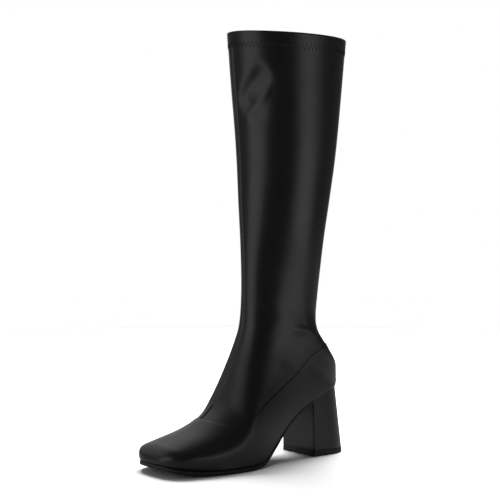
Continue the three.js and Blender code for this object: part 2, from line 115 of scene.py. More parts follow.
# Leg sections from the bend to the collar: front, rise of the front, depth, rise of the back, outer,
# inner, depth from the ridge to the widest place, roundness above and below it
legRows = [
    (0.5, 0.046, 0.875, 0.048, 0.272, 0.269, 0.424, 2.37, 2.68),
    (0.497, 0.099, 0.755, 0.105, 0.273, 0.272, 0.439, 2.28, 3.3),
    (0.497, 0.155, 0.666, 0.157, 0.271, 0.272, 0.443, 2.2, 2.45),
    (0.497, 0.214, 0.648, 0.208, 0.283, 0.281, 0.432, 2.16, 2.25),
    (0.497, 0.283, 0.662, 0.263, 0.306, 0.302, 0.42, 2.12, 2.2),
    (0.496, 0.362, 0.681, 0.332, 0.344, 0.339, 0.409, 2.1, 2.1),
    (0.496, 0.454, 0.706, 0.423, 0.384, 0.38, 0.404, 2.1, 2.1),
    (0.497, 0.562, 0.753, 0.534, 0.424, 0.42, 0.408, 2.1, 2.1),
    (0.506, 0.691, 0.826, 0.666, 0.459, 0.454, 0.423, 2.1, 2.1),
    (0.525, 0.836, 0.911, 0.822, 0.483, 0.479, 0.449, 2.1, 2.1),
    (0.545, 1, 1, 1, 0.503, 0.497, 0.485, 2.1, 2.1),
]

# Seam between the foot part and the leg, seen from the side: shares of the length from the heel and
# of the instep height
footSeamRows = [
    (0.7, 0.591), (0.706, 0.444), (0.713, 0.362), (0.704, 0.33), (0.673, 0.319), (0.64, 0.334),
    (0.6, 0.37), (0.55, 0.42), (0.5, 0.469), (0.44, 0.522), (0.38, 0.577), (0.31, 0.646),
    (0.26, 0.717), (0.2, 0.788), (0.13, 0.843), (0.05, 0.875), (-0.1, 0.895),
]
bend = len(footRows) - 1
collar = bend + len(legRows)


# Curves that carry the rows

def throughRows(places, values, tangents):
    def valueAt(at):
        i = np.clip(np.searchsorted(places, at, side="right") - 1, 0, len(places) - 2)
        step = places[i + 1] - places[i]
        t = (at - places[i]) / step
        start = (values[i] * (1 + 2 * t) + tangents[i] * step * t) * (1 - t) ** 2
        return start + (values[i + 1] * (3 - 2 * t) + tangents[i + 1] * step * (t - 1)) * t * t

    return valueAt


def splineThrough(places, values):  # natural cubic spline
    near = 1 / np.diff(places)
    pull = 3 * np.diff(values) * near**2
    system = np.diag(near, 1) + np.diag(near, -1) + 2 * np.diag(np.append(near, 0) + np.append(0, near))
    tangents = np.linalg.solve(system, np.append(pull, 0) + np.append(0, pull))
    return throughRows(np.array(places, float), np.array(values, float), tangents)


def levelCurve(places, values, firstSlope=None):  # never overshoots its rows
    slopes = np.diff(values) / np.diff(places)
    tangents = np.append(slopes[0] if firstSlope is None else firstSlope, slopes)
    for i in range(1, len(slopes)):
        product = slopes[i - 1] * slopes[i]
        tangents[i] = 0 if product <= 0 else 2 * product / (slopes[i - 1] + slopes[i])
    return throughRows(np.array(places, float), np.array(values, float), tangents)


def mix(start, end, share):
    return start + (end - start) * share


def smoothRise(values, low, high):
    t = np.clip((values - low) / (high - low), 0, 1)
    return t * t * (3 - 2 * t)


def softBump(distance, width):
    return np.exp(-((distance / width) ** 2))


def unitRows(vectors):
    lengths = np.linalg.norm(vectors, axis=-1, keepdims=True)
    return vectors / np.where(lengths > 1e-12, lengths, 1)


def fullness(distance, depth, roundness):  # quarter superellipse
    left = 1 - np.clip(distance / depth, 0, 1)
    return (1 - left**roundness) ** (1 / roundness)


def alongPath(points):  # length from the start to each point
    steps = np.linalg.norm(np.diff(points, axis=0), axis=1)
    return np.concatenate([[0], np.cumsum(steps)])


def pathAt(points, lengths, places):
    return np.stack([np.interp(places, lengths, column) for column in points.T], axis=1)


def smoothPath(points, steps):  # Catmull-Rom curve through its points
    points = np.array(points, float)
    ends = np.concatenate([[2 * points[0] - points[1]], points, [2 * points[-1] - points[-2]]])
    result = []
    for i in range(len(points) - 1):
        a, b, c, d = ends[i : i + 4]
        for t in np.linspace(0, 1, steps, endpoint=False):
            bow = t * (2 * a - 5 * b + 4 * c - d + t * (3 * (b - c) + d - a))
            result.append(b + 0.5 * t * (c - a + bow))
    return np.array(result + [points[-1]])


# The form of the boot

featherPlaces = [row[0] for row in featherRows]
outsoleThickness = 4
treadTop = outsoleThickness + clearance
seatRise = lastForm["heelHeight"] - treadTop
soleTop = levelCurve(
    featherPlaces, [treadTop + row[1] * seatRise + row[2] * lastForm["toeSpring"] for row in featherRows],
)
outerPlan = splineThrough(featherPlaces, [row[3] * ballWidth for row in featherRows])
innerPlan = splineThrough(featherPlaces, [row[4] * ballWidth for row in featherRows])


def featherAt(distance):
    share = distance / footLength
    toeEnd = fullness(footLength - distance, lastForm["toeCornerDepth"], lastForm["toePlanRoundness"])
    ends = toeEnd * fullness(distance, lastForm["heelCurveDepth"], lastForm["heelRoundness"])
    return soleTop(share), outerPlan(share) * ends, innerPlan(share) * ends


def sectionRows():
    keys = ("frontY", "frontZ", "backY", "backZ", "outer", "inner", "shift", "crownDepth", "crown", "side")
    seat = lastForm["heelHeight"]
    rows = []
    for ridge, rise, base, *shares, crown, side in footRows:
        places = -ridge * footLength, rise * instepHeight, -base * footLength, seat
        rows.append((*places, *(share * ballWidth for share in shares), crown, side))
    for front, frontRise, depth, backRise, outer, inner, crownDepth, crown, side in legRows:
        y = -front * footLength
        rows.append((
            y, instepHeight + frontRise * (bootHeight - instepHeight), y + depth * collarDepth,
            seat + backRise * (bootHeight - lastForm["collarDrop"] - seat),
            outer * collarWidth, inner * collarWidth, 0, crownDepth * collarDepth, crown, side,
        ))
    return [dict(zip(keys, row)) for row in rows]


formRows = sectionRows()
rowNumbers = range(len(formRows))
formCurves = {key: splineThrough(rowNumbers, [row[key] for row in formRows]) for key in formRows[0]}
formCurves["backY"] = levelCurve(rowNumbers, [row["backY"] for row in formRows])
backHeight = levelCurve(range(bend, len(formRows)), [row["backZ"] for row in formRows[bend:]], 0)
collarRow = formRows[collar]

arcSamples = 90
hair = 1e-4


def superArc(roundness, leastWidth=0.0):  # widths and drops from the widest place, evenly sampled
    def other(values):
        return (1 - values**roundness) ** (1 / roundness)

    knee = 2 ** (-1 / roundness)
    drops = np.linspace(0, min(knee, other(leastWidth)), arcSamples)
    if leastWidth >= knee:
        return other(drops), drops
    lastWidths = np.linspace(knee, leastWidth, arcSamples)[1:]
    return np.append(other(drops), lastWidths), np.append(drops, other(lastWidths))


def halfSection(section, side):  # fine path from the ridge down to the base on one side
    key = "outer" if side > 0 else "inner"
    base = max(0, section[key + "Base"] - side * section["shift"]) if section["open"] else 0
    width = max(section[key] - side * section["shift"], base * (1 + hair), hair)
    widest = section["widest"]
    crownWidths, crownDrops = superArc(section["crown"])
    sideWidths, sideDrops = superArc(section["side"], base / width)
    reach = (1 - widest) / max(sideDrops[-1], hair)
    out = width * np.concatenate([crownWidths[::-1], sideWidths[1:]])
    down = np.concatenate([widest * (1 - crownDrops[::-1]), widest + reach * sideDrops[1:]])
    y, z = (mix(section["front" + axis], section["back" + axis], down) for axis in "YZ")
    return np.stack([section["shift"] + side * out, y, z], axis=1)


def sectionPath(station):
    # from the outer base over the ridge to the inner base, and the length up to the ridge
    section = {key: float(curve(station)) for key, curve in formCurves.items()}
    section["open"] = station < bend
    height, outerBase, innerBase = featherAt(-section["backY"])
    section["backZ"] = float(height if station <= bend else backHeight(station))
    depth = math.hypot(section["backY"] - section["frontY"], section["backZ"] - section["frontZ"])
    section["widest"] = section["crownDepth"] / depth
    section["outerBase"] = section["innerBase"] = 0
    if station <= bend:
        section["outerBase"], section["innerBase"] = outerBase, innerBase
        fromTip = footLength + section["backY"]
        toeWidth = fullness(fromTip, lastForm["toeCornerDepth"], lastForm["toePlanRoundness"])
        toeHeight = fullness(fromTip, lastForm["toeEdgeDepth"], lastForm["toeEdgeRoundness"])
        for key in ("outer", "inner", "shift"):
            section[key] *= toeWidth
        section["frontZ"] = height + (section["frontZ"] - height) * toeHeight
    outer, inner = halfSection(section, 1), halfSection(section, -1)
    path = np.concatenate([outer[::-1], inner[1:]])
    lengths = alongPath(path)
    return path, lengths, lengths[len(outer) - 1]


# Fine skin over the form: one row of points for each station, with close columns at the bottom
# edge, at the back seam and at the front seam, so that edges and seams are modelled

skinGrid = {
    "footStep": 1.9,  # mm between stations along the bottom edge
    "legStep": 2.1,
    "hemStep": 0.9,
    "hemReach": 20,
    "hemStart": 0.42,  # stations below the collar
    "lastStation": 0.016,  # the skin ends this far below the collar
    "edgeColumns": [0, 0.3, 0.7, 1.2, 1.9, 2.8],  # mm from the bottom edge or the back seam
    "seamColumns": [0.4, 1.1, 1.7, 2.1, 2.4, 2.8, 3.4, 4.4],  # mm to each side of the front seam
    "outerColumns": 96,
    "innerColumns": 68,
    "smallestSection": 70,  # below this length the close columns draw together
    "levelReach": 5,  # over this height the normals come level at the bottom edge
}

# Front seam of the leg, from the ridge of the form towards the inner side: share of the boot's
# height, share of the ball width
frontSeamRows = [
    (0.0, 0.09), (0.115, 0.1), (0.15, 0.065), (0.216, 0.015), (0.3, 0.03), (0.38, 0.045),
    (0.47, 0.06), (0.61, 0.13), (0.78, 0.16), (0.92, 0.155), (1.0, 0.14),
]
frontSeamAt = levelCurve(*zip(*frontSeamRows))


def footStations():
    fine = np.linspace(0, bend, 1600)
    toeFine = np.concatenate([np.linspace(0, 1, 400) ** 3, fine[fine > 1]])
    line = []
    for station in toeFine:
        distance = float(np.clip(-formCurves["backY"](station), 0, footLength))
        height, outer = featherAt(distance)[:2]
        line.append((float(outer), -distance, float(height)))
    lengths = alongPath(np.array(line))
    count = round(lengths[-1] / skinGrid["footStep"])
    stations = np.interp(np.linspace(0, lengths[-1], count + 1), lengths, toeFine)
    stations[-1] = bend
    return list(stations)


def legStations():
    hemStart = collar - skinGrid["hemStart"]
    count = round((bootHeight - instepHeight) / skinGrid["legStep"])
    hemCount = round(skinGrid["hemReach"] / skinGrid["hemStep"])
    upper = np.linspace(hemStart, collar - skinGrid["lastStation"], hemCount + 1)[1:]
    return list(np.linspace(bend, hemStart, count)[1:]) + list(upper)


def skinOfForm():
    skin = {"points": [], "fromFrontSeam": [], "fromBase": [], "along": []}
    stations = footStations() + legStations()
    halfSeam = np.array(skinGrid["seamColumns"])
    for station in stations:
        path, lengths, ridge = sectionPath(station)
        total = lengths[-1]
        draw = min(1, total / skinGrid["smallestSection"])
        ridgeHeight = pathAt(path, lengths, [ridge])[0][2]
        seam = ridge + float(frontSeamAt(ridgeHeight / bootHeight)) * ballWidth * draw
        edge = np.array(skinGrid["edgeColumns"]) * draw
        close = seam + np.concatenate([-halfSeam[::-1], halfSeam]) * draw
        outer = np.linspace(edge[-1], close[0], skinGrid["outerColumns"] + 1)[1:-1]
        inner = np.linspace(close[-1], total - edge[-1], skinGrid["innerColumns"] + 1)[1:-1]
        places = np.concatenate([edge, outer, close, inner, total - edge[::-1]])
        fromBase = np.minimum(places, total - places)
        for key, values in zip(skin, (pathAt(path, lengths, places), places - seam, fromBase, places)):
            skin[key].append(values)
    return {key: np.array(values) for key, values in dict(skin, stations=stations).items()}


def skinNormals(skin):
    points, stations = skin["points"], skin["stations"]
    closed = stations >= bend
    before, after = np.roll(points, 1, axis=1), np.roll(points, -1, axis=1)
    before[:, 0] = np.where(closed[:, None], points[:, -2], points[:, 0])
    after[:, -1] = np.where(closed[:, None], points[:, 1], points[:, -1])
    along = np.concatenate([points[1:], points[-1:]]) - np.concatenate([points[:1], points[:-1]])
    back = along[:, 0] + along[:, -1]
    along[closed, 0] = along[closed, -1] = back[closed]
    normals = unitRows(np.cross(along, after - before))
    normals[0] = (0, -1, 0)
    # towards the bottom edge the normals come level, so that the wall stands straight on the sole
    rise = smoothRise(skin["fromBase"], 0, skinGrid["levelReach"])
    normals[..., 2] *= np.where((stations <= bend)[:, None], rise, 1)
    return unitRows(normals)


# Distance from the foot seam in the side view, positive on the foot's side

footSeamLine = smoothPath([(-at * footLength, rise * instepHeight) for at, rise in footSeamRows], 16)


def nearPath(points, path):  # distance to a path and the share of its length at the nearest place
    nearest, share = np.full(len(points), 1e9), np.zeros(len(points))
    lengths = alongPath(path)
    for i, step in enumerate(np.diff(path, axis=0)):
        t = np.clip((points - path[i]) @ step / (step @ step), 0, 1)
        distance = np.linalg.norm(points - path[i] - t[:, None] * step, axis=1)
        closer = distance < nearest
        nearest[closer] = distance[closer]
        share[closer] = ((lengths[i] + t * (lengths[i + 1] - lengths[i])) / lengths[-1])[closer]
    return nearest, share


def insideOutline(points, outline):
    inside = np.zeros(len(points), bool)
    y, z = points.T
    for (y1, z1), (y2, z2) in zip(outline, np.roll(outline, -1, axis=0)):
        if z1 != z2:
            crossing = (z1 > z) != (z2 > z)
            inside ^= crossing & (y < (y2 - y1) * (z - z1) / (z2 - z1) + y1)
    return inside


def fromFootSeam(points):
    flat = points[..., 1:].reshape(-1, 2)
    ahead, below = -(footLength + collarDepth), -lastForm["heelHeight"]
    corners = np.array([(ahead, below), (footSeamLine[-1][0], below)])
    outline = np.concatenate([corners, footSeamLine[::-1], [(ahead, footSeamLine[0][1])]])
    distance = nearPath(flat, footSeamLine)[0]
    return np.where(insideOutline(flat, outline), distance, -distance).reshape(points.shape[:-1])


# Creases, listed one by one. Places: share of the collar width from the middle, share of the foot length
# from the heel, share of the boot's height. Width and depth are in mm, and a trough has a depth
# below zero.
creaseRows = {
    "calfDent": (7.5, -4.8, [
        (-0.077, 0.510, 0.823), (-0.016, 0.515, 0.840), (0.065, 0.517, 0.862),
        (0.141, 0.511, 0.882), (0.214, 0.498, 0.901), (0.290, 0.477, 0.923),
    ]),
    "calfDentLip": (5, 1.3, [
        (0.000, 0.507, 0.794), (0.094, 0.507, 0.816), (0.169, 0.501, 0.834),
        (0.231, 0.491, 0.851), (0.286, 0.478, 0.869), (0.335, 0.463, 0.892),
    ]),
    "ankleRoll": (4.2, 1, [(0.28, 0.35, 0.314), (0.28, 0.29, 0.307), (0.27, 0.23, 0.3), (0.25, 0.17, 0.291)]),
    "ankleBackFold": (4, -1.7, [
        (0.24, 0.16, 0.318), (0.13, 0.13, 0.32), (0, 0.125, 0.32), (-0.13, 0.13, 0.322),
    ]),
    "ankleBackRoll": (4.5, 1.2, [
        (0.23, 0.14, 0.298), (0.13, 0.105, 0.3), (0, 0.1, 0.3), (-0.13, 0.11, 0.302),
    ]),
    "ankleHollow": (18, -0.5, [
        (0.261, 0.372, 0.298), (0.269, 0.345, 0.266), (0.273, 0.339, 0.239), (0.284, 0.369, 0.207),
    ]),
    "innerAnkleFold": (5, -1.2, [(-0.27, 0.36, 0.33), (-0.26, 0.28, 0.325), (-0.22, 0.18, 0.32)]),
    "innerAnkleRoll": (5, 1.1, [(-0.27, 0.34, 0.312), (-0.26, 0.27, 0.306), (-0.23, 0.18, 0.3)]),
    "shinDrape": (12, -0.8, [(0.12, 0.5, 0.42), (0.17, 0.48, 0.36), (0.24, 0.44, 0.31)]),
    "innerCalfDent": (13, -1.4, [(-0.33, 0.42, 0.86), (-0.39, 0.33, 0.83), (-0.41, 0.24, 0.81)]),
    "backDrape": (10, -0.9, [(0.1, 0.1, 0.42), (0.02, 0.1, 0.39), (-0.1, 0.12, 0.37)]),
}
creaseFade = 0.3  # share of a crease over which each end dies out
# The calf dent is steep towards the shin and this many times wider in the direction given
gentleSides = {"calfDent": ((0.84, 0, -0.55), 3.2)}


def creaseRelief(points):
    relief = np.zeros(len(points))
    for name, (width, depth, places) in creaseRows.items():
        path = smoothPath([(x * collarWidth, -y * footLength, z * bootHeight) for x, y, z in places], 6)
        distance, share = nearPath(points, path)
        ends = smoothRise(np.minimum(share, 1 - share), -0.02, creaseFade)
        if name in gentleSides:
            towards, wider = gentleSides[name]
            lengths = alongPath(path)
            nearest = pathAt(path, lengths, share * lengths[-1])
            distance = np.where((points - nearest) @ np.array(towards) > 0, distance / wider, distance)
        relief += depth * softBump(distance, width) * ends
    return relief


seamRelief = {
    "grooveOffset": 2.25,  # the two lines of the front seam lie this far from its middle
    "narrowing": 0.35,  # they draw together over the instep
    "narrowHeights": (100, 200),
    "grooveWidth": 0.75,
    "grooveDepth": 0.75,
    "ribHeight": 0.25,
    "ribWidth": 0.7,  # share of the grooves' offset
    "backGrooveWidth": 0.5,
    "backGrooveDepth": 0.4,
    "startAbove": (-0.5, 1.5),  # mm from the foot seam
    "endBelowCollar": (12, 17),
}

hemStitch = {
    "topDepth": 11.6,  # mm below the collar's edge
    "bottomDepth": 16.2,
    "pitch": 4.9,
    "threadRadius": 0.2,
    "pucker": 0.12,
    "puckerWidth": 2.2,
    "proud": 0.3,
    "edgeDepths": (11, 18),  # the hem's step runs out between these
    # the hole entries size the near-black discs of painted shade laid at the needle holes
    "holeShadeRadius": 0.7,
    "holeShadeDepth": 0.3,
}

# The worn-in collar rises a little towards the inner front and the outer back
collarWave = {"innerFront": 2.8, "outerBack": 2, "reach": 95, "azimuth": 52.56}


def frontSeamRelief(fromSeam, height, onLeg):
    narrowing = seamRelief["narrowing"] * (1 - smoothRise(height, *seamRelief["narrowHeights"]))
    offset = seamRelief["grooveOffset"] * (1 - narrowing)
    grooves = softBump(np.abs(fromSeam) - offset, seamRelief["grooveWidth"])
    rib = softBump(fromSeam, offset * seamRelief["ribWidth"])
    return onLeg * (seamRelief["ribHeight"] * rib - seamRelief["grooveDepth"] * grooves)


def belowCollar(points):
    slope = -lastForm["collarDrop"] / (collarRow["backY"] - collarRow["frontY"])
    return bootHeight + (points[..., 1] - collarRow["frontY"]) * slope - points[..., 2]


def waveCollar(points):
    middle = (collarRow["frontY"] + collarRow["backY"]) / 2
    flat = [points[..., 0] / collarWidth, (points[..., 1] - middle) / collarDepth]
    turn = math.radians(collarWave["azimuth"])
    towards = unitRows(np.stack(flat, axis=-1)) @ np.array([math.cos(turn), math.sin(turn)])
    rise = np.where(towards < 0, collarWave["innerFront"], collarWave["outerBack"]) * towards**2
    points[..., 2] += rise * smoothRise(points[..., 2], bootHeight - collarWave["reach"], bootHeight)


def dressedSkin():
    skin = skinOfForm()
    points, normals = skin["points"], skinNormals(skin)
    skin["fromSeam"] = fromFootSeam(points)
    depth = skin["belowCollar"] = belowCollar(points)
    relief = creaseRelief(points.reshape(-1, 3)).reshape(depth.shape)
    underHem = smoothRise(depth, *seamRelief["endBelowCollar"])
    onLeg = smoothRise(-skin["fromSeam"], *seamRelief["startAbove"]) * underHem
    relief += frontSeamRelief(skin["fromFrontSeam"], points[..., 2], onLeg)
    backGroove = seamRelief["backGrooveDepth"] * softBump(skin["fromBase"], seamRelief["backGrooveWidth"])
    relief -= (skin["stations"] >= bend)[:, None] * underHem * backGroove
    middle = (hemStitch["topDepth"] + hemStitch["bottomDepth"]) / 2
    relief -= hemStitch["pucker"] * softBump(depth - middle, hemStitch["puckerWidth"])
    skin["points"] = points + normals * relief[..., None]
    waveCollar(skin["points"])
    skin["normals"] = skinNormals(skin)
    return skin


skin = dressedSkin()
rowsInSkin, columnsInSkin = skin["points"].shape[:2]
closedRows = skin["stations"] >= bend
print("skin over the form:", rowsInSkin, "stations of", columnsInSkin, "points")


# Cutting the skin at the foot seam: points next to the seam move onto it, and a face that the seam
# crosses from corner to corner is split there

def snapToSeam():
    signed = skin["fromSeam"]
    best = np.full(signed.shape, 1e9)
    moves = {}
    for down, across in ((1, 0), (0, 1)):
        here, there = signed[: rowsInSkin - down, : columnsInSkin - across], signed[down:, across:]
        for i, j in zip(*np.nonzero(here * there < 0)):
            ends = ((i, j), (i + down, j + across))
            a, b = abs(here[i, j]), abs(there[i, j])
            near, far = ends if a <= b else ends[::-1]
            share = min(a, b) / (a + b)
            moved = np.linalg.norm(skin["points"][near] - skin["points"][far]) * share
            if moved < best[near]:
                best[near] = moved
                moves[near] = (far, share)
    after = {key: values.copy() for key, values in skin.items() if key != "stations"}
    for near, (far, share) in moves.items():
        for key in after:
            after[key][near] = skin[key][near] * (1 - share) + skin[key][far] * share
        after["fromSeam"][near] = 0
    after["normals"] = unitRows(after["normals"])
    for key in ("points", "normals", "fromSeam"):
        after[key][closedRows, -1] = after[key][closedRows, 0]
    skin.update(after)


def facesOfSkin(rows):  # faces between these rows, on the foot's side of the seam and on the leg's
    numbers = np.arange(rowsInSkin * columnsInSkin).reshape(rowsInSkin, columnsInSkin)
    numbers[0, :] = 0  # the tip of the toe is one point
    numbers[closedRows, -1] = numbers[closedRows, 0]
    side = np.sign(skin["fromSeam"])
    foot, leg = [], []
    for i, nextRow in zip(rows, rows[1:]):
        for j in range(columnsInSkin - 1):
            corners = ((i, j), (nextRow, j), (nextRow, j + 1), (i, j + 1))
            signs = [side[c] for c in corners]
            halves = ([0, 1, 2, 3],)
            if min(signs) < 0 < max(signs):
                halves = ([0, 1, 2], [0, 2, 3]) if signs[0] == 0 else ([1, 2, 3], [1, 3, 0])
            for half in halves:
                corner = [numbers[corners[k]] for k in half]
                kept = [p for k, p in enumerate(corner) if p != corner[k - 1]]
                total = sum(signs[k] for k in half)
                onFoot = total > 0 if total else skin["fromSeam"][i, j] >= 0
                if len(kept) > 2:
                    (foot if onFoot else leg).append(kept)
    return foot, leg


snapToSeam()
footFaces, legFaces = facesOfSkin(range(rowsInSkin))
flatPoints, flatNormals = skin["points"].reshape(-1, 3), skin["normals"].reshape(-1, 3)
fromSeamFlat, fromBaseFlat, belowCollarFlat = (
    skin[key].reshape(-1) for key in ("fromSeam", "fromBase", "belowCollar")
)
onFootRows = np.repeat(skin["stations"] <= bend, columnsInSkin)
rowPlaces = np.repeat(np.arange(rowsInSkin) * skinGrid["legStep"], columnsInSkin)
skinSurface = np.stack([skin["along"].reshape(-1), rowPlaces], axis=1)
print("cut at the foot seam:", len(footFaces), "and", len(legFaces), "faces")


# Meshes in the frame

liftLow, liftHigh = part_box("top_lift")
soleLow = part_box("outsole")[0]
outsoleLip = 0.7
heelBaseShift = 1
toFrame = np.array([
    (liftLow.x + liftHigh.x) / 2 / millimetre - heelBaseShift,
    soleLow.y / millimetre + footLength + lap + outsoleLip,
    0,
])


def signedVolume(points, faces):
    volume = 0.0
    for face in faces:
        corners = points[list(face)]
        for k in range(1, len(corners) - 1):
            volume += np.dot(corners[0], np.cross(corners[k], corners[k + 1]))
    return volume / 6


def newObject(name, data):
    thing = bpy.data.objects.new(name, data)
    bpy.context.scene.collection.objects.link(thing)
    return thing


def meshInFrame(name, points, faces):
    mesh = bpy.data.meshes.new(name)
    mesh.from_pydata(((points + toFrame) * millimetre).tolist(), [], faces)
    return mesh


def onBody(piece, replaced=None):
    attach(piece, "root")
    if replaced:
        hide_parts(replaced)
    print("made", piece.name, len(piece.data.polygons), "faces")


def addPiece(name, points, faces, material, replaced, slot, uv=None, sharpAngle=None):
    points = np.asarray(points, float)
    if signedVolume(points, faces) < 0:
        faces = [face[::-1] for face in faces]
    mesh = meshInFrame(name, points, faces)
    mesh.validate()
    mesh.materials.append(material)
    mesh.shade_smooth()
    if sharpAngle:
        mesh.set_sharp_from_angle(angle=math.radians(sharpAngle))
    if uv is not None:
        layer = mesh.uv_layers.new(name="surface")
        corners = np.zeros(len(mesh.loops), np.int32)
        mesh.loops.foreach_get("vertex_index", corners)
        layer.data.foreach_set("uv", (np.asarray(uv)[corners] * millimetre).ravel())
    onBody(newObject(name, mesh), replaced)


def thickSheet(faces, outerOffset, innerOffset, bulge, edgeSteps):
    # a skin with its real thickness: an outer and an inner face joined by rounded edges
    used = sorted({p for face in faces for p in face})
    number = {p: k for k, p in enumerate(used)}
    faces = [[number[p] for p in face] for face in faces]
    points, normals, count = flatPoints[used], flatNormals[used], len(used)
    outer = points + normals * outerOffset[used][:, None]
    inner = points + normals * innerOffset[used][:, None]
    edges = {(face[k - 1], face[k]) for face in faces for k in range(len(face))}
    border = sorted((a, b) for a, b in edges if (b, a) not in edges)
    outwards = np.zeros((count, 3))
    for a, b in border:
        away = np.cross(points[b] - points[a], normals[a] + normals[b])
        outwards[a] += away
        outwards[b] += away
    rim = sorted({p for edge in border for p in edge})
    half, middle = (outer[rim] - inner[rim]) / 2, (outer[rim] + inner[rim]) / 2
    swell = unitRows(outwards)[rim] * bulge[used][rim][:, None]
    turns = [math.pi * k / edgeSteps for k in range(1, edgeSteps)]
    rings = [middle + half * math.cos(turn) + swell * math.sin(turn) for turn in turns]
    ringAt = {}
    for place, p in enumerate(rim):
        ringAt[p] = [p, *(2 * count + k * len(rim) + place for k in range(edgeSteps - 1)), p + count]
    allFaces = faces + [[p + count for p in face[::-1]] for face in faces]
    for a, b in border:
        for k in range(edgeSteps):
            allFaces.append([ringAt[b][k], ringAt[a][k], ringAt[a][k + 1], ringAt[b][k + 1]])
    surface = skinSurface[used]
    uv = np.concatenate([surface, surface] + [surface[rim]] * (edgeSteps - 1))
    return np.concatenate([outer, inner, *rings]), allFaces, uv


# Materials

def linearColour(hexCode):
    shades = [int(hexCode[k : k + 2], 16) / 255 for k in (1, 3, 5)]
    linear = [s / 12.92 if s <= 0.04045 else ((s + 0.055) / 1.055) ** 2.4 for s in shades]
    return (*linear, 1)


def addNode(tree, kind, inputs=None, **settings):
    # an input is a value, a node whose first output it takes, or a node with the name of its output
    node = tree.nodes.new(kind)
    for name, value in settings.items():
        setattr(node, name, value)
    for socket, value in (inputs or {}).items():
        source, output = value if isinstance(value, tuple) and len(value) == 2 else (value, 0)
        if isinstance(source, bpy.types.Node):
            tree.links.new(source.outputs[output], node.inputs[socket])
        else:
            node.inputs[socket].default_value = value
    return node


def maths(tree, operation, *terms):
    return addNode(tree, "ShaderNodeMath", dict(enumerate(terms)), operation=operation)


def perMetre(millimetres):  # pattern scale on Object coordinates from a real size
    return 1000 / millimetres


def noise(tree, place, size, detail=2):
    return addNode(tree, "ShaderNodeTexNoise", {"Vector": place, "Scale": perMetre(size), "Detail": detail})


def bands(tree, place, size, direction, distortion, detail=2):  # a wave's scale counts in twentieths
    inputs = {"Vector": place, "Scale": perMetre(size) / 20, "Distortion": distortion, "Detail": detail}
    return addNode(tree, "ShaderNodeTexWave", inputs, bands_direction=direction), "Fac"


def bumpNode(tree, height, strength, depth, below=None):
    inputs = {"Height": height, "Strength": strength, "Distance": depth * millimetre}
    return addNode(tree, "ShaderNodeBump", dict(inputs, Normal=below) if below else inputs)


def newMaterial(name, coordinates="ShaderNodeTexCoord", **settings):
    material = bpy.data.materials.new(name)
    material.use_nodes = True
    material.node_tree.nodes.clear()
    return material, material.node_tree, addNode(material.node_tree, coordinates, **settings)


def endMaterial(material, finish, tint, gloss, surface, shader, spread=(0, 1)):
    # tint carries the colour from deep to pale, gloss carries the roughness
    tree = material.node_tree
    colour = addNode(tree, "ShaderNodeValToRGB", {"Fac": tint})
    for element, place, shade in zip(colour.color_ramp.elements, spread, ("deep", "pale")):
        element.position = place
        element.color = linearColour(finish[shade])
    low, high = finish["roughness"]
    ends = {"From Min": spread[0], "From Max": spread[1], "To Min": low, "To Max": high}
    roughness = addNode(tree, "ShaderNodeMapRange", {"Value": gloss, **ends})
    linked = {"Base Color": colour, "Roughness": roughness, "Normal": surface}
    principled = addNode(tree, "ShaderNodeBsdfPrincipled", {**linked, **shader})
    addNode(tree, "ShaderNodeOutputMaterial", {"Surface": principled})
    return material


def coatedLeather(name, finish):
    material, tree, coordinates = newMaterial(name)
    place = coordinates, "Object"
    stretched = addNode(tree, "ShaderNodeMapping", {"Vector": place, "Scale": finish["stretch"]})
    size, poreSize = finish["grain"], finish["grain"] * 0.45
    cells = {"Vector": stretched, "Scale": perMetre(size)}
    grain = addNode(tree, "ShaderNodeTexVoronoi", cells, feature="SMOOTH_F1")
    fine = maths(tree, "MULTIPLY_ADD", noise(tree, stretched, poreSize, 3), 0.5, grain)
    waves = noise(tree, place, finish["waves"], 3)
    clouds = noise(tree, place, finish["clouds"], 4)
    surface = bumpNode(tree, fine, finish["grainStrength"], finish["grainDepth"])
    soft = bumpNode(tree, waves, 1, finish["waveDepth"], surface)
    return endMaterial(
        material, finish, clouds, clouds, soft, {"Specular IOR Level": finish["specular"]}, finish["spread"],
    )


# Polyurethane coated on a stretch knit: a closed satin film, so broad soft highlights, a grain that
# only shows close up and a slight waviness from the knit below
stretchFinish = {
    "grain": 0.55, "stretch": (1, 1, 0.8), "grainStrength": 0.12, "grainDepth": 0.05,
    "waves": 28, "waveDepth": 0.25, "clouds": 45, "deep": "#090909", "pale": "#0d0d0e",
    "roughness": (0.31, 0.38), "spread": (0.3, 0.7), "specular": 0.5,
}
# The same film over a stiffened foot part: tighter and a little glossier
footFinish = dict(stretchFinish, waves=40, waveDepth=0.12, roughness=(0.3, 0.36), pale="#0f0f10")
# Film wrapped hot round the heel block: taut, with the finest grain
heelFinish = dict(stretchFinish, grain=0.4, waves=60, waveDepth=0.05, roughness=(0.3, 0.36))


def tricotKnit(name, finish):
    material, tree, coordinates = newMaterial(name, "ShaderNodeUVMap", uv_map="surface")
    wales = bands(tree, coordinates, finish["wale"], "X", 1.5, 1)
    courses = bands(tree, coordinates, finish["course"], "Y", 2)
    loops = maths(tree, "MULTIPLY", wales, courses)
    shader = {"Sheen Weight": 0.25, "Sheen Roughness": 0.5, "IOR": 1.5}
    return endMaterial(material, finish, loops, loops, bumpNode(tree, loops, 0.6, 0.2), shader)


def mouldedRubber(name, finish):
    material, tree, coordinates = newMaterial(name)
    grit = noise(tree, (coordinates, "Object"), finish["grit"], 4)
    clouds = noise(tree, (coordinates, "Object"), finish["clouds"])
    return endMaterial(material, finish, clouds, grit, bumpNode(tree, grit, 0.35, 0.06), {"IOR": 1.52})


def twistedThread(name, finish):
    material, tree, coordinates = newMaterial(name)
    strands = bands(tree, (coordinates, "Object"), finish["twist"], "DIAGONAL", 1)
    shader = {"IOR": 1.57, "Sheen Weight": 0.1}
    return endMaterial(material, finish, strands, strands, bumpNode(tree, strands, 0.5, 0.08), shader)


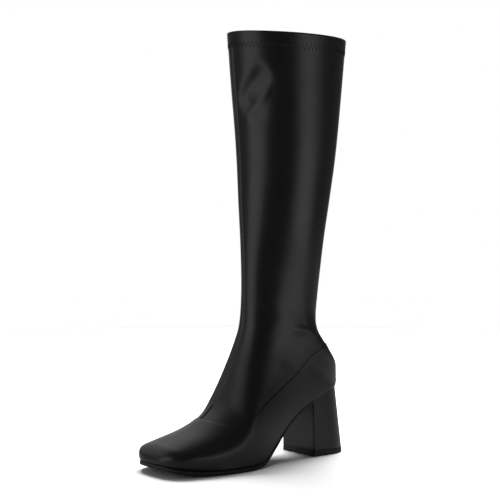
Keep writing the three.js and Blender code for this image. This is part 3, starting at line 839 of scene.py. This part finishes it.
stretchLeather = coatedLeather("stretchCoatedLeather", stretchFinish)
footLeather = coatedLeather("footCoatedLeather", footFinish)
heelLeather = coatedLeather("heelWrapLeather", heelFinish)
# Brushed tricot: fine wales and loops, matt; the wales are drawn at 1.1 mm, coarser than real
tricot = {"wale": 1.1, "course": 1.4, "deep": "#1d1b1a", "pale": "#2f2c2a", "roughness": (0.95, 0.8)}
liningKnit = tricotKnit("tricotLining", tricot)
sockKnit = tricotKnit("sockLining", dict(tricot, wale=1.4, deep="#262321", pale="#3a3633"))
# Thermoplastic rubber, injection moulded: matt with a faint spark-eroded grit
sole = {"grit": 0.8, "clouds": 30, "deep": "#090909", "pale": "#0e0e0e", "roughness": (0.5, 0.66)}
lift = {"grit": 0.6, "clouds": 20, "deep": "#080808", "pale": "#0d0d0d", "roughness": (0.45, 0.6)}
# shade: near-black matt discs laid at the needle holes, painted shade of the dimples round each hole
shade = {"grit": 0.5, "clouds": 10, "deep": "#040404", "pale": "#070707", "roughness": (0.8, 0.95)}
soleRubber = mouldedRubber("mouldedSoleRubber", sole)
liftRubber = mouldedRubber("liftRubber", lift)
needleShade = mouldedRubber("needleHoleShade", shade)
# Polyester thread, three strands laid together: fine slanted ridges with a slight silkiness
thread = {"twist": 0.7, "deep": "#0c0c0c", "pale": "#161616", "roughness": (0.45, 0.6)}
polyesterThread = twistedThread("polyesterThread", thread)
print("materials ready")


# Leg: one tube of coated stretch leather from under the foot part to the folded hem

legShaft = {
    "thickness": 1.0,
    "underFoot": 3.2,  # it runs on under the foot part
    "sunk": 0.05,  # and lies this much deeper there
    "hemThickness": 1.75,  # at the hem the leather is folded in
    "foldDepths": (12, 15),
    "rimDepth": 10,
    "rimBulge": 0.8,
    "lowerBulge": 0.3,
}


def hemProud(depth):
    return hemStitch["proud"] * (1 - smoothRise(depth, *hemStitch["edgeDepths"]))


def makeShaft():
    near = fromSeamFlat < legShaft["underFoot"]
    faces = legFaces + [face for face in footFaces if near[face].all()]
    outer = hemProud(belowCollarFlat) - legShaft["sunk"] * smoothRise(fromSeamFlat, -0.5, 0.5)
    folded = 1 - smoothRise(belowCollarFlat, *legShaft["foldDepths"])
    inner = -mix(legShaft["thickness"], legShaft["hemThickness"], folded)
    bulge = np.where(belowCollarFlat < legShaft["rimDepth"], legShaft["rimBulge"], legShaft["lowerBulge"])
    points, faces, uv = thickSheet(faces, outer, inner, bulge, 6)
    addPiece("stretchShaft", points, faces, stretchLeather, "shaft", "stretch_leather", uv)


footPart = {
    "thickness": 1.0,
    "edgeRadius": 1.4,  # the bottom edge turns in over this height
    "edgeDraw": 0.8,
    "overLeg": 0.02,
    "lapLength": 5.8,
    "lapFade": 3,
    "bottomBulge": 0.1,
    "rimBulge": 0.12,
}


def makeFootPart():
    turn = 1 - np.clip(fromBaseFlat / footPart["edgeRadius"], 0, 1)
    turnIn = footPart["edgeRadius"] * (1 - np.sqrt(1 - turn**2)) * footPart["edgeDraw"]
    outer = lap - np.where(onFootRows, turnIn, 0)
    inside = smoothRise(fromSeamFlat, footPart["lapLength"], footPart["lapLength"] + footPart["lapFade"])
    inner = mix(footPart["overLeg"], -footPart["thickness"], inside)
    bulge = np.where(fromBaseFlat < hair, footPart["bottomBulge"], footPart["rimBulge"])
    points, faces, uv = thickSheet(footFaces, outer, inner, bulge, 6)
    addPiece("footUpper", points, faces, footLeather, "upper", "foot_leather", uv)


lining = {
    "outer": -1.06,
    "inner": -1.6,
    "belowRim": 11,
    "outerAtHem": -0.75,  # further in where the hem is folded
    "innerAtHem": -0.6,
    "foldDepths": (12, 18),
    "bulge": 0.15,
}


def makeLining():
    # every second row does in the foot, and keeps the piece under 200,000 triangles
    rows = [row for row in range(rowsInSkin) if closedRows[row] or row % 2 == 0]
    shown = belowCollarFlat > lining["belowRim"]
    faces = [face for faces in facesOfSkin(rows) for face in faces if shown[face].all()]
    folded = 1 - smoothRise(belowCollarFlat, *lining["foldDepths"])
    outer, inner = (lining[face] + lining[face + "AtHem"] * folded for face in ("outer", "inner"))
    points, faces, uv = thickSheet(faces, outer, inner, np.full(len(flatPoints), lining["bulge"]), 2)
    addPiece("shaftLining", points, faces, liningKnit, None, "sock_lining", uv)


makeShaft()
makeFootPart()
makeLining()


# Pieces that repeat: bars set along a row of places, each with its turn and stretch

def barTree():
    tree = bpy.data.node_groups.new("barsAlongRow", "GeometryNodeTree")
    wanted = {
        "Places": "Geometry", "Radius": "Float", "Length": "Float", "End Sink": "Float", "Sides": "Int",
        "Material": "Material",
    }
    sockets = {}
    for name, kind in wanted.items():
        socket = tree.interface.new_socket(name=name, in_out="INPUT", socket_type="NodeSocket" + kind)
        sockets[name] = socket.identifier
    tree.interface.new_socket(name="Bars", in_out="OUTPUT", socket_type="NodeSocketGeometry")
    entry = addNode(tree, "NodeGroupInput")
    form = {"Vertices": "Sides", "Radius": "Radius", "Depth": "Length"}
    bar = addNode(tree, "GeometryNodeMeshCylinder", {key: (entry, name) for key, name in form.items()})
    bar.inputs["Side Segments"].default_value = 6
    # along the bar the share from its middle draws the ends in and lets them dip
    position = addNode(tree, "ShaderNodeSeparateXYZ", {"Vector": addNode(tree, "GeometryNodeInputPosition")})
    share = maths(tree, "DIVIDE", (position, "Z"), maths(tree, "MULTIPLY", (entry, "Length"), 0.5))
    fourth = maths(tree, "POWER", share, 4)
    draw = maths(tree, "MULTIPLY_ADD", fourth, -0.55, 1)
    dip = maths(tree, "MULTIPLY", fourth, (entry, "End Sink"))
    x = maths(tree, "SUBTRACT", maths(tree, "MULTIPLY", (position, "X"), draw), dip)
    y = maths(tree, "MULTIPLY", (position, "Y"), draw)
    shaped = addNode(tree, "ShaderNodeCombineXYZ", {"X": x, "Y": y, "Z": (position, "Z")})
    bent = addNode(tree, "GeometryNodeSetPosition", {"Geometry": bar, "Position": shaped})
    turn, stretch = (
        addNode(tree, "GeometryNodeInputNamedAttribute", {"Name": name}, data_type="FLOAT_VECTOR")
        for name in ("turn", "stretch")
    )
    placed = addNode(tree, "GeometryNodeInstanceOnPoints", {
        "Points": addNode(tree, "GeometryNodeMeshToPoints", {"Mesh": (entry, "Places")}),
        "Instance": addNode(tree, "GeometryNodeSetShadeSmooth", {"Geometry": bent}),
        "Rotation": addNode(tree, "FunctionNodeEulerToRotation", {"Euler": (turn, "Attribute")}),
        "Scale": (stretch, "Attribute"),
    })
    real = addNode(tree, "GeometryNodeRealizeInstances", {"Geometry": placed})
    finished = {"Geometry": real, "Material": (entry, "Material")}
    addNode(tree, "NodeGroupOutput", {"Bars": addNode(tree, "GeometryNodeSetMaterial", finished)})
    return tree, sockets


barsAlongRow, barSockets = barTree()


def barsAt(name, places, axes, normals, stretches, sizes, material):
    # axes: direction of each bar; normals: away from what carries it
    mesh = meshInFrame(name, places, [])
    turns = []
    for axis, normal in zip(axes, normals):
        along = Vector(axis).normalized()
        out = Vector(normal)
        out = (out - along * out.dot(along)).normalized()
        turns.append(tuple(Matrix((out, along.cross(out), along)).transposed().to_euler()))
    for key, values in (("turn", turns), ("stretch", stretches)):
        mesh.attributes.new(key, "FLOAT_VECTOR", "POINT").data.foreach_set("vector", np.ravel(values))
    piece = newObject(name, mesh)
    modifier = piece.modifiers.new("bars", "NODES")
    modifier.node_group = barsAlongRow
    for key in ("Radius", "Length", "End Sink"):
        modifier[barSockets[key]] = sizes[key] * millimetre
    modifier[barSockets["Sides"]] = sizes["Sides"]
    modifier[barSockets["Material"]] = material
    evaluated = piece.evaluated_get(bpy.context.evaluated_depsgraph_get())
    plain = bpy.data.meshes.new_from_object(evaluated)
    piece.modifiers.remove(modifier)
    piece.data = plain
    plain.name = name
    onBody(piece)


# Zigzag of the hem: needle places on two level rings round the leg

def ringBelowCollar(depth):
    rows = np.nonzero(skin["stations"] > collar - 0.6)[0][::-1]
    surface = skin["points"] + skin["normals"] * hemProud(skin["belowCollar"])[..., None]
    ring, normals = [], []
    for j in range(columnsInSkin - 1):
        depths = skin["belowCollar"][rows, j]
        for found, values in ((ring, surface), (normals, skin["normals"])):
            found.append(pathAt(values[rows, j], depths, [depth])[0])
    return np.array(ring + ring[:1]), unitRows(np.array(normals + normals[:1]))


def needlePlaces(depth, count, phase):
    ring, normals = ringBelowCollar(depth)
    lengths = alongPath(ring)
    places = (np.arange(count) + phase) / count * lengths[-1]
    return pathAt(ring, lengths, places), unitRows(pathAt(normals, lengths, places))


def makeHemStitches():
    ring = ringBelowCollar(hemStitch["topDepth"])[0]
    count = round(alongPath(ring)[-1] / hemStitch["pitch"])
    top, topNormals = needlePlaces(hemStitch["topDepth"], count, 0)
    bottom, bottomNormals = needlePlaces(hemStitch["bottomDepth"], count, 0.5)
    holes, ends = np.concatenate([top, bottom]), np.concatenate([bottom, np.roll(top, -1, axis=0)])
    holeNormals = np.concatenate([topNormals, bottomNormals])
    endNormals = np.concatenate([bottomNormals, np.roll(topNormals, -1, axis=0)])
    normals = unitRows(holeNormals + endNormals)
    strokes = ends - holes
    lengths = np.linalg.norm(strokes, axis=1)
    usual = float(np.median(lengths))
    radius = hemStitch["threadRadius"]
    middles = (holes + ends) / 2 + normals * radius * 0.5
    level = np.ones(len(holes))
    stretches = np.stack([level, level, lengths / usual], axis=1)
    sizes = {"Radius": radius, "Length": usual, "End Sink": radius * 1.5, "Sides": 8}
    barsAt("hemZigzag", middles, strokes, normals, stretches, sizes, polyesterThread)
    # near-black matt discs at the needle holes: painted shade of the dimples the needle leaves
    flat = {"Radius": hemStitch["holeShadeRadius"], "Length": hemStitch["holeShadeDepth"], "End Sink": 0, "Sides": 10}
    aside = np.roll(holeNormals, 1, axis=1) + (0.1, 0.2, 0.3)  # any direction off the normal
    even = np.ones((len(holes), 3))
    barsAt("hemNeedleHoleShade", holes, holeNormals, aside, even, flat, needleShade)


makeHemStitches()


# Sole, heel and sock are lofts of closed loops round the outline of the feather line

def outlinePoint(distance, sign, offset):
    if distance >= footLength:
        return np.array([0, -footLength - offset])
    if distance <= 0:
        return np.array([0, offset])
    small = footLength * 1e-4

    def halfAt(d):
        return featherAt(d)[1] if sign > 0 else -featherAt(d)[2]

    ahead, behind = min(footLength, distance + small), max(0, distance - small)
    slope = np.array([sign * (ahead - behind), sign * (halfAt(ahead) - halfAt(behind))])
    return np.array([halfAt(distance), -distance]) + slope / np.linalg.norm(slope) * offset


def outlineDistances(start, end, step):  # evenly spaced along the outer outline, the toe first
    fine = footLength * (1 - np.linspace(0, 1, 3000) ** 2.5)
    lengths = alongPath(np.array([(float(featherAt(d)[1]), -d) for d in fine]))
    count = round(lengths[-1] / step)
    even = np.interp(np.linspace(0, lengths[-1], count + 1), lengths, fine)
    return [end] + [d for d in even if start + step / 4 < d < end - step / 4] + [start]


def crossLoop(distance, wall, broadSteps, backSteps, rise):
    # wall: offsets from the outline and heights. The broad face joins the last pair on both sides,
    # raised by rise(share across, width), and the back joins the first.
    outer, inner = (np.array([(*outlinePoint(distance, s, out), z) for out, z in wall]) for s in (1, -1))
    share = np.linspace(0, 1, broadSteps + 1)[1:-1]
    broad = mix(outer[-1], inner[-1], share[:, None])
    broad[:, 2] += rise(share, np.linalg.norm(outer[-1] - inner[-1]))
    back = mix(inner[0], outer[0], np.linspace(0, 1, backSteps + 1)[1:-1, None])
    return np.concatenate([outer, broad, inner[::-1], back])


def loft(loops):  # points that lie together are merged, and faces that fold up are left out
    size = len(loops[0])
    faces = []
    for i in range(len(loops) - 1):
        for j in range(size):
            a, b = i * size + j, i * size + (j + 1) % size
            faces.append([a, b, b + size, a + size])
    faces.append(list(range(size))[::-1])
    faces.append(list(range((len(loops) - 1) * size, len(loops) * size)))
    numbers, number, kept = {}, [], []
    for point in np.concatenate(loops):
        key = tuple(np.round(point / 1e-3).astype(int))
        if key not in numbers:
            numbers[key] = len(kept)
            kept.append(point)
        number.append(numbers[key])
    merged = []
    for face in faces:
        corner = [number[p] for p in face]
        corner = [p for k, p in enumerate(corner) if p != corner[k - 1]]
        if len(corner) > 2 and len(set(corner)) == len(corner):
            merged.append(corner)
    return np.array(kept), merged


outsole = {
    "waistThickness": 2.2,
    "topGap": 0.22,  # closer to the upper than the solids are
    "lipStart": 0.54,
    "lipFull": 0.65,
    "breastAt": 47,
    "treadFrom": 0.56,
    "treadTo": 0.93,
    "treadRecess": 0.5,
    "treadMargin": 7,
    "treadFade": 6,
    "ribPitch": 4.2,
    "ribRadius": 0.8,
    "ribMargin": 1.5,
    "ribSunk": 0.25,
    "step": 2.2,
}
# side of the sole from its top edge to its tread: share of the thickness, drawn in by mm
soleEdge = [(0, 0.55), (0.04, 0.25), (0.12, 0.05), (0.22, 0), (0.8, 0), (0.9, 0.12), (0.97, 0.4), (1, 0.8)]
lipStart, lipFull = outsole["lipStart"] * footLength, outsole["lipFull"] * footLength
soleThickness = levelCurve(
    [outsole["breastAt"], lipStart, footLength],
    [outsole["waistThickness"], outsoleThickness, outsoleThickness],
)
soleLip = levelCurve([outsole["breastAt"], lipStart, lipFull, footLength], [0, 0, outsoleLip, outsoleLip])
treadStart, treadEnd = outsole["treadFrom"] * footLength, outsole["treadTo"] * footLength


def soleTopAt(distance):
    return float(soleTop(distance / footLength)) - clearance


def treadHeight(distance, inset):
    fade, margin = outsole["treadFade"], outsole["treadMargin"]
    start = smoothRise(distance, treadStart, treadStart + fade)
    along = start * (1 - smoothRise(distance, treadEnd - fade, treadEnd))
    return outsole["treadRecess"] * along * smoothRise(inset, margin - 1, margin)


def makeOutsole():
    end = outsole["breastAt"] + clearance
    loops = []
    for distance in outlineDistances(end, footLength, outsole["step"]):
        top = soleTopAt(distance) + outsole["topGap"]
        thickness = float(soleThickness(distance)) + outsole["topGap"]
        offset = lap + float(soleLip(distance))
        wall = [(offset - drawn, top - down * thickness) for down, drawn in soleEdge]
        loops.append(crossLoop(
            distance, wall, 34, 6, lambda t, width: treadHeight(distance, np.minimum(t, 1 - t) * width)
        ))
    addPiece("mouldedOutsole", *loft(loops), soleRubber, "outsole", "sole_rubber", sharpAngle=50)


def makeTreadRibs():
    usual = 10
    rise = outsole["treadRecess"] * 0.6 + outsole["ribRadius"] - outsole["ribSunk"]
    places, spans = [], []
    for distance in np.arange(treadStart + 7, treadEnd - 7, outsole["ribPitch"]):
        outer, inner = (outlinePoint(distance, sign, lap)[0] for sign in (1, -1))
        bottom = soleTopAt(distance) - float(soleThickness(distance))
        places.append(((outer + inner) / 2, -distance, bottom + rise))
        spans.append(outer - inner - 2 * (outsole["treadMargin"] + outsole["ribMargin"]))
    stretches = [(1, 1, span / usual) for span in spans]
    sizes = {"Radius": outsole["ribRadius"], "Length": usual, "End Sink": -0.3, "Sides": 12}
    axes, normals = [(1, 0, 0)] * len(spans), [(0, 0, 1)] * len(spans)
    barsAt("treadRibs", np.array(places), axes, normals, stretches, sizes, soleRubber)


makeOutsole()
makeTreadRibs()

blockHeel = {
    "inset": 1.4,  # the upper overhangs the heel
    "baseWidth": 53.5,
    "backFlare": 5.5,
    "baseCurveDepth": 29,
    "liftThickness": 5.5,
    "wrapEdge": 0.35,
    "liftEdge": 0.4,
    "cornerRadius": 0.9,
    "wrapSeamDepth": 0.12,
    "wrapSeamWidth": 0.5,
    "breastHollow": 0.5,
    "step": 1.2,
}
# places across the breast from its middle, close together at the seam of the wrap
breastHalf = np.concatenate([np.array([0.15, 0.35, 0.6, 0.9]) * 0.08, np.linspace(0.1, 1, 9)])
breastPlaces = np.concatenate([-breastHalf[::-1], [0], breastHalf])[1:-1]


def heelOutlines():
    breastAt = outsole["breastAt"]
    corner = breastAt - 2 * blockHeel["cornerRadius"]
    stretch = (breastAt + blockHeel["backFlare"]) / breastAt
    seat, floor = [], []
    for distance in outlineDistances(0, breastAt, blockHeel["step"]):
        if corner <= distance < breastAt:
            continue
        full = float(fullness(distance * stretch, blockHeel["baseCurveDepth"], lastForm["heelRoundness"]))
        half = blockHeel["baseWidth"] / 2 * full
        y = blockHeel["backFlare"] - distance * stretch
        height = soleTopAt(distance)
        seat.append([(*outlinePoint(distance, s, lap - blockHeel["inset"]), height) for s in (1, -1)])
        floor.append([(heelBaseShift * full + s * half, y, 0) for s in (1, -1)])
    return np.array(seat), np.array(floor)


heelSeat, heelFloor = heelOutlines()


def shareAt(height):  # share of the way from the floor to the seat
    return (height / heelSeat[..., 2])[..., None]


def heelLoop(share, drawnIn=0.0):
    # one ring: along the outer side to the back, along the inner side and across the breast
    ring = mix(heelFloor, heelSeat, share)
    outer, inner = ring[:, 0], ring[:, 1]
    corners = []
    for end, sideway, towards in ((inner[0], inner[1], outer[0]), (outer[0], outer[1], inner[0])):
        toSide, toBreast = unitRows(np.array([sideway - end, towards - end])) * blockHeel["cornerRadius"]
        corners.append([end + toSide * (1 - t) ** 2 + toBreast * t**2 for t in np.linspace(0, 1, 6)])
    start, end = corners[0][-1], corners[1][-1]
    t = breastPlaces
    breast = (start + end) / 2 + (end - start) / 2 * t[:, None]
    groove = softBump(t * np.linalg.norm(end - start) / 2, blockHeel["wrapSeamWidth"])
    breast[:, 1] += blockHeel["wrapSeamDepth"] * groove + blockHeel["breastHollow"] * (1 - t * t)
    loop = np.array([*outer[1:], *inner[-2:0:-1], *corners[0], *breast, *corners[1][::-1]])
    loop[:, :2] -= unitRows(loop[:, :2] - loop[:, :2].mean(axis=0)) * drawnIn
    return loop


def heelLoft(low, high, edge):
    # low and high: heights, or None for the seat. edge: how far the rims are rounded
    quarter = np.linspace(0, math.pi / 2, 4)
    loops = [heelLoop(shareAt(low + edge * (1 - math.cos(a))), edge * (1 - math.sin(a))) for a in quarter]
    start, end = shareAt(low + edge), 1 if high is None else shareAt(high - edge)
    loops += [heelLoop(mix(start, end, t)) for t in np.linspace(0, 1, 16)[1:]]
    if high is not None:
        for a in quarter[1:]:
            loops.append(heelLoop(shareAt(high - edge + edge * math.sin(a)), edge * (1 - math.cos(a))))
    return loft(loops)


def makeHeel():
    lift, low = blockHeel["liftThickness"], blockHeel["liftThickness"] + clearance * 0.4
    wrap = heelLoft(low, None, blockHeel["wrapEdge"])
    addPiece("heelWrap", *wrap, heelLeather, "heel", "heel_wrap", sharpAngle=40)
    plate = heelLoft(0, lift, blockHeel["liftEdge"])
    addPiece("topLift", *plate, liftRubber, "top_lift", "lift_rubber", sharpAngle=50)


makeHeel()

sock = {"insoleGap": 1.3, "thickness": 3, "edgeRadius": 1.2, "cup": 0.5, "step": 2.4}


def makeSock():
    bendRow, nextRow = formRows[bend : bend + 2]
    lean = max(0, (bendRow["backY"] - nextRow["backY"]) / (nextRow["backZ"] - bendRow["backZ"]))
    radius, thickness, cup = sock["edgeRadius"], sock["thickness"], sock["cup"]
    edge = [(0, 0)] + [
        (radius * (1 - math.cos(a)), thickness - radius + radius * math.sin(a))
        for a in np.linspace(0, math.pi / 2, 5)
    ]
    loops = []
    for distance in outlineDistances(0, footLength, sock["step"]):
        seat = float(soleTop(distance / footLength))
        heelShare = max(0, 1 - distance / lastForm["heelCurveDepth"])
        offset = lastForm["wall"] + sock["insoleGap"] + heelShare * lean * thickness
        wall = [(-offset - drawn, seat + up) for drawn, up in edge]
        loops.append(crossLoop(distance, wall, 26, 4, lambda t, width: cup * (2 * t - 1) ** 4 - cup))
    points, faces = loft(loops)
    addPiece("sockLining", points, faces, sockKnit, "insole", "sock_lining", uv=points[:, :2], sharpAngle=60)


makeSock()


# Studio: pale floor, four soft boxes in the surround and a broad lamp behind the boot

shot = {
    "azimuth": 52.56,
    "drop": 2.2,
    "place": (1.1112, -0.8502, 0.2740),
    "lens": 97.1,
    "shift": 0.0049,
}


def turned(azimuth, elevation):  # direction from the boot, azimuth measured from the camera's
    a, e = math.radians(shot["azimuth"] + azimuth), math.radians(elevation)
    return Vector((math.sin(a) * math.cos(e), -math.cos(a) * math.cos(e), math.sin(e)))


def cameraSees(tree, seen, mirrored):
    inputs = {0: (addNode(tree, "ShaderNodeLightPath"), "Is Camera Ray"), 1: mirrored, 2: seen}
    return addNode(tree, "ShaderNodeMixShader", inputs)


# The real sheet was small, so the boot mirrors little of it. Lengths in metres.
paleFloor = {
    "seen": "#f6f6f6",
    "mirrored": "#828282",
    "behind": 0.55,
    "reach": 0.95,
    "sides": 96,
    "drop": 0.0002,
}


def makeFloor():
    material, tree, coordinates = newMaterial("paleFloor")
    mottle = addNode(tree, "ShaderNodeTexNoise", {"Vector": (coordinates, "Object"), "Scale": 3})
    roughness = addNode(tree, "ShaderNodeMapRange", {"Value": mottle, "To Min": 0.75, "To Max": 0.9})
    look = {"Base Color": linearColour(paleFloor["seen"]), "Specular IOR Level": 0.1, "Roughness": roughness}
    seen = addNode(tree, "ShaderNodeBsdfPrincipled", look)
    mirrored = addNode(tree, "ShaderNodeBsdfDiffuse", {"Color": linearColour(paleFloor["mirrored"])})
    addNode(tree, "ShaderNodeOutputMaterial", {"Surface": cameraSees(tree, seen, mirrored)})
    sides, middle = paleFloor["sides"], turned(0, 0) * -paleFloor["behind"]
    turns = [2 * math.pi * k / sides for k in range(sides)]
    rim = [Vector((math.cos(t), math.sin(t), 0)) * paleFloor["reach"] + middle for t in turns]
    corners = [(x, y, -paleFloor["drop"]) for x, y, z in rim]
    mesh = bpy.data.meshes.new("paleFloor")
    mesh.from_pydata(corners, [], [list(range(sides))])
    mesh.materials.append(material)
    floor = newObject("paleFloor", mesh)


# azimuth from the camera to its right, elevation, half width and half height in degrees, strength
softBoxes = {
    "left": (-68, 1, 25, 33, 1.05),
    "right": (60, -10, 18, 19, 1.3),
    "overVamp": (-147, 31, 33, 19, 0.54),
    "backdrop": (180, -4, 22, 30, 0.6),
}
surround = {"ambient": 0.1, "softness": 0.14, "whiteForCamera": 1.0}


def makeSurround():
    world = bpy.data.worlds.new("studioSurround")
    bpy.context.scene.world = world
    world.use_nodes = True
    tree = world.node_tree
    tree.nodes.clear()
    place = addNode(tree, "ShaderNodeTexCoord"), "Generated"
    softness, glow = surround["softness"], surround["ambient"]

    def along(direction):
        inputs = {0: place, 1: direction}
        return addNode(tree, "ShaderNodeVectorMath", inputs, operation="DOT_PRODUCT"), "Value"

    for azimuth, elevation, halfWidth, halfHeight, strength in softBoxes.values():
        forward = turned(azimuth, elevation)
        right = Vector((0, 0, 1)).cross(forward).normalized()
        lit = maths(tree, "GREATER_THAN", along(forward), 0)
        for direction, half in ((right, halfWidth), (forward.cross(right), halfHeight)):
            edge = math.sin(math.radians(half))
            ends = {"From Min": edge + softness, "From Max": edge - softness}
            ends["Value"] = maths(tree, "ABSOLUTE", along(direction))
            fade = addNode(tree, "ShaderNodeMapRange", ends, interpolation_type="SMOOTHSTEP")
            lit = maths(tree, "MULTIPLY", lit, fade)
        glow = maths(tree, "MAXIMUM", glow, maths(tree, "MULTIPLY", lit, strength))
    studio = addNode(tree, "ShaderNodeBackground", {"Color": (1, 1, 1, 1), "Strength": glow})
    white = {"Color": (1, 1, 1, 1), "Strength": surround["whiteForCamera"]}
    seen = addNode(tree, "ShaderNodeBackground", white)
    addNode(tree, "ShaderNodeOutputWorld", {"Surface": cameraSees(tree, seen, studio)})


# A broad lamp high behind the boot whitens the sheet and throws the shadow towards the camera. The
# leather doesn't mirror it.
sheetLamp = {"azimuth": 172, "elevation": 62, "distance": 1.4, "width": 1.2, "depth": 0.8, "watts": 48}


def makeSheetLamp():
    lamp = bpy.data.lights.new("sheetLamp", "AREA")
    lamp.shape = "RECTANGLE"
    lamp.size = sheetLamp["width"]
    lamp.size_y = sheetLamp["depth"]
    lamp.energy = sheetLamp["watts"]
    holder = newObject("sheetLamp", lamp)
    towards = turned(sheetLamp["azimuth"], sheetLamp["elevation"])
    holder.location = towards * sheetLamp["distance"]
    holder.rotation_euler = towards.to_track_quat("Z", "Y").to_euler()
    holder.visible_glossy = False
    holder.visible_camera = False


def makeCamera():
    data = bpy.data.cameras.new("studioCamera")
    data.lens = shot["lens"]
    data.sensor_width = 36
    data.shift_x = shot["shift"]
    data.clip_start = 0.05
    camera = newObject("studioCamera", data)
    camera.location = shot["place"]
    camera.rotation_mode = "QUATERNION"
    camera.rotation_quaternion = (-turned(0, shot["drop"])).to_track_quat("-Z", "Y")
    bpy.context.scene.camera = camera


makeFloor()
makeSurround()
makeSheetLamp()
makeCamera()
view = bpy.context.scene.view_settings
view.view_transform = "Standard"
view.look = "None"
print("studio ready")
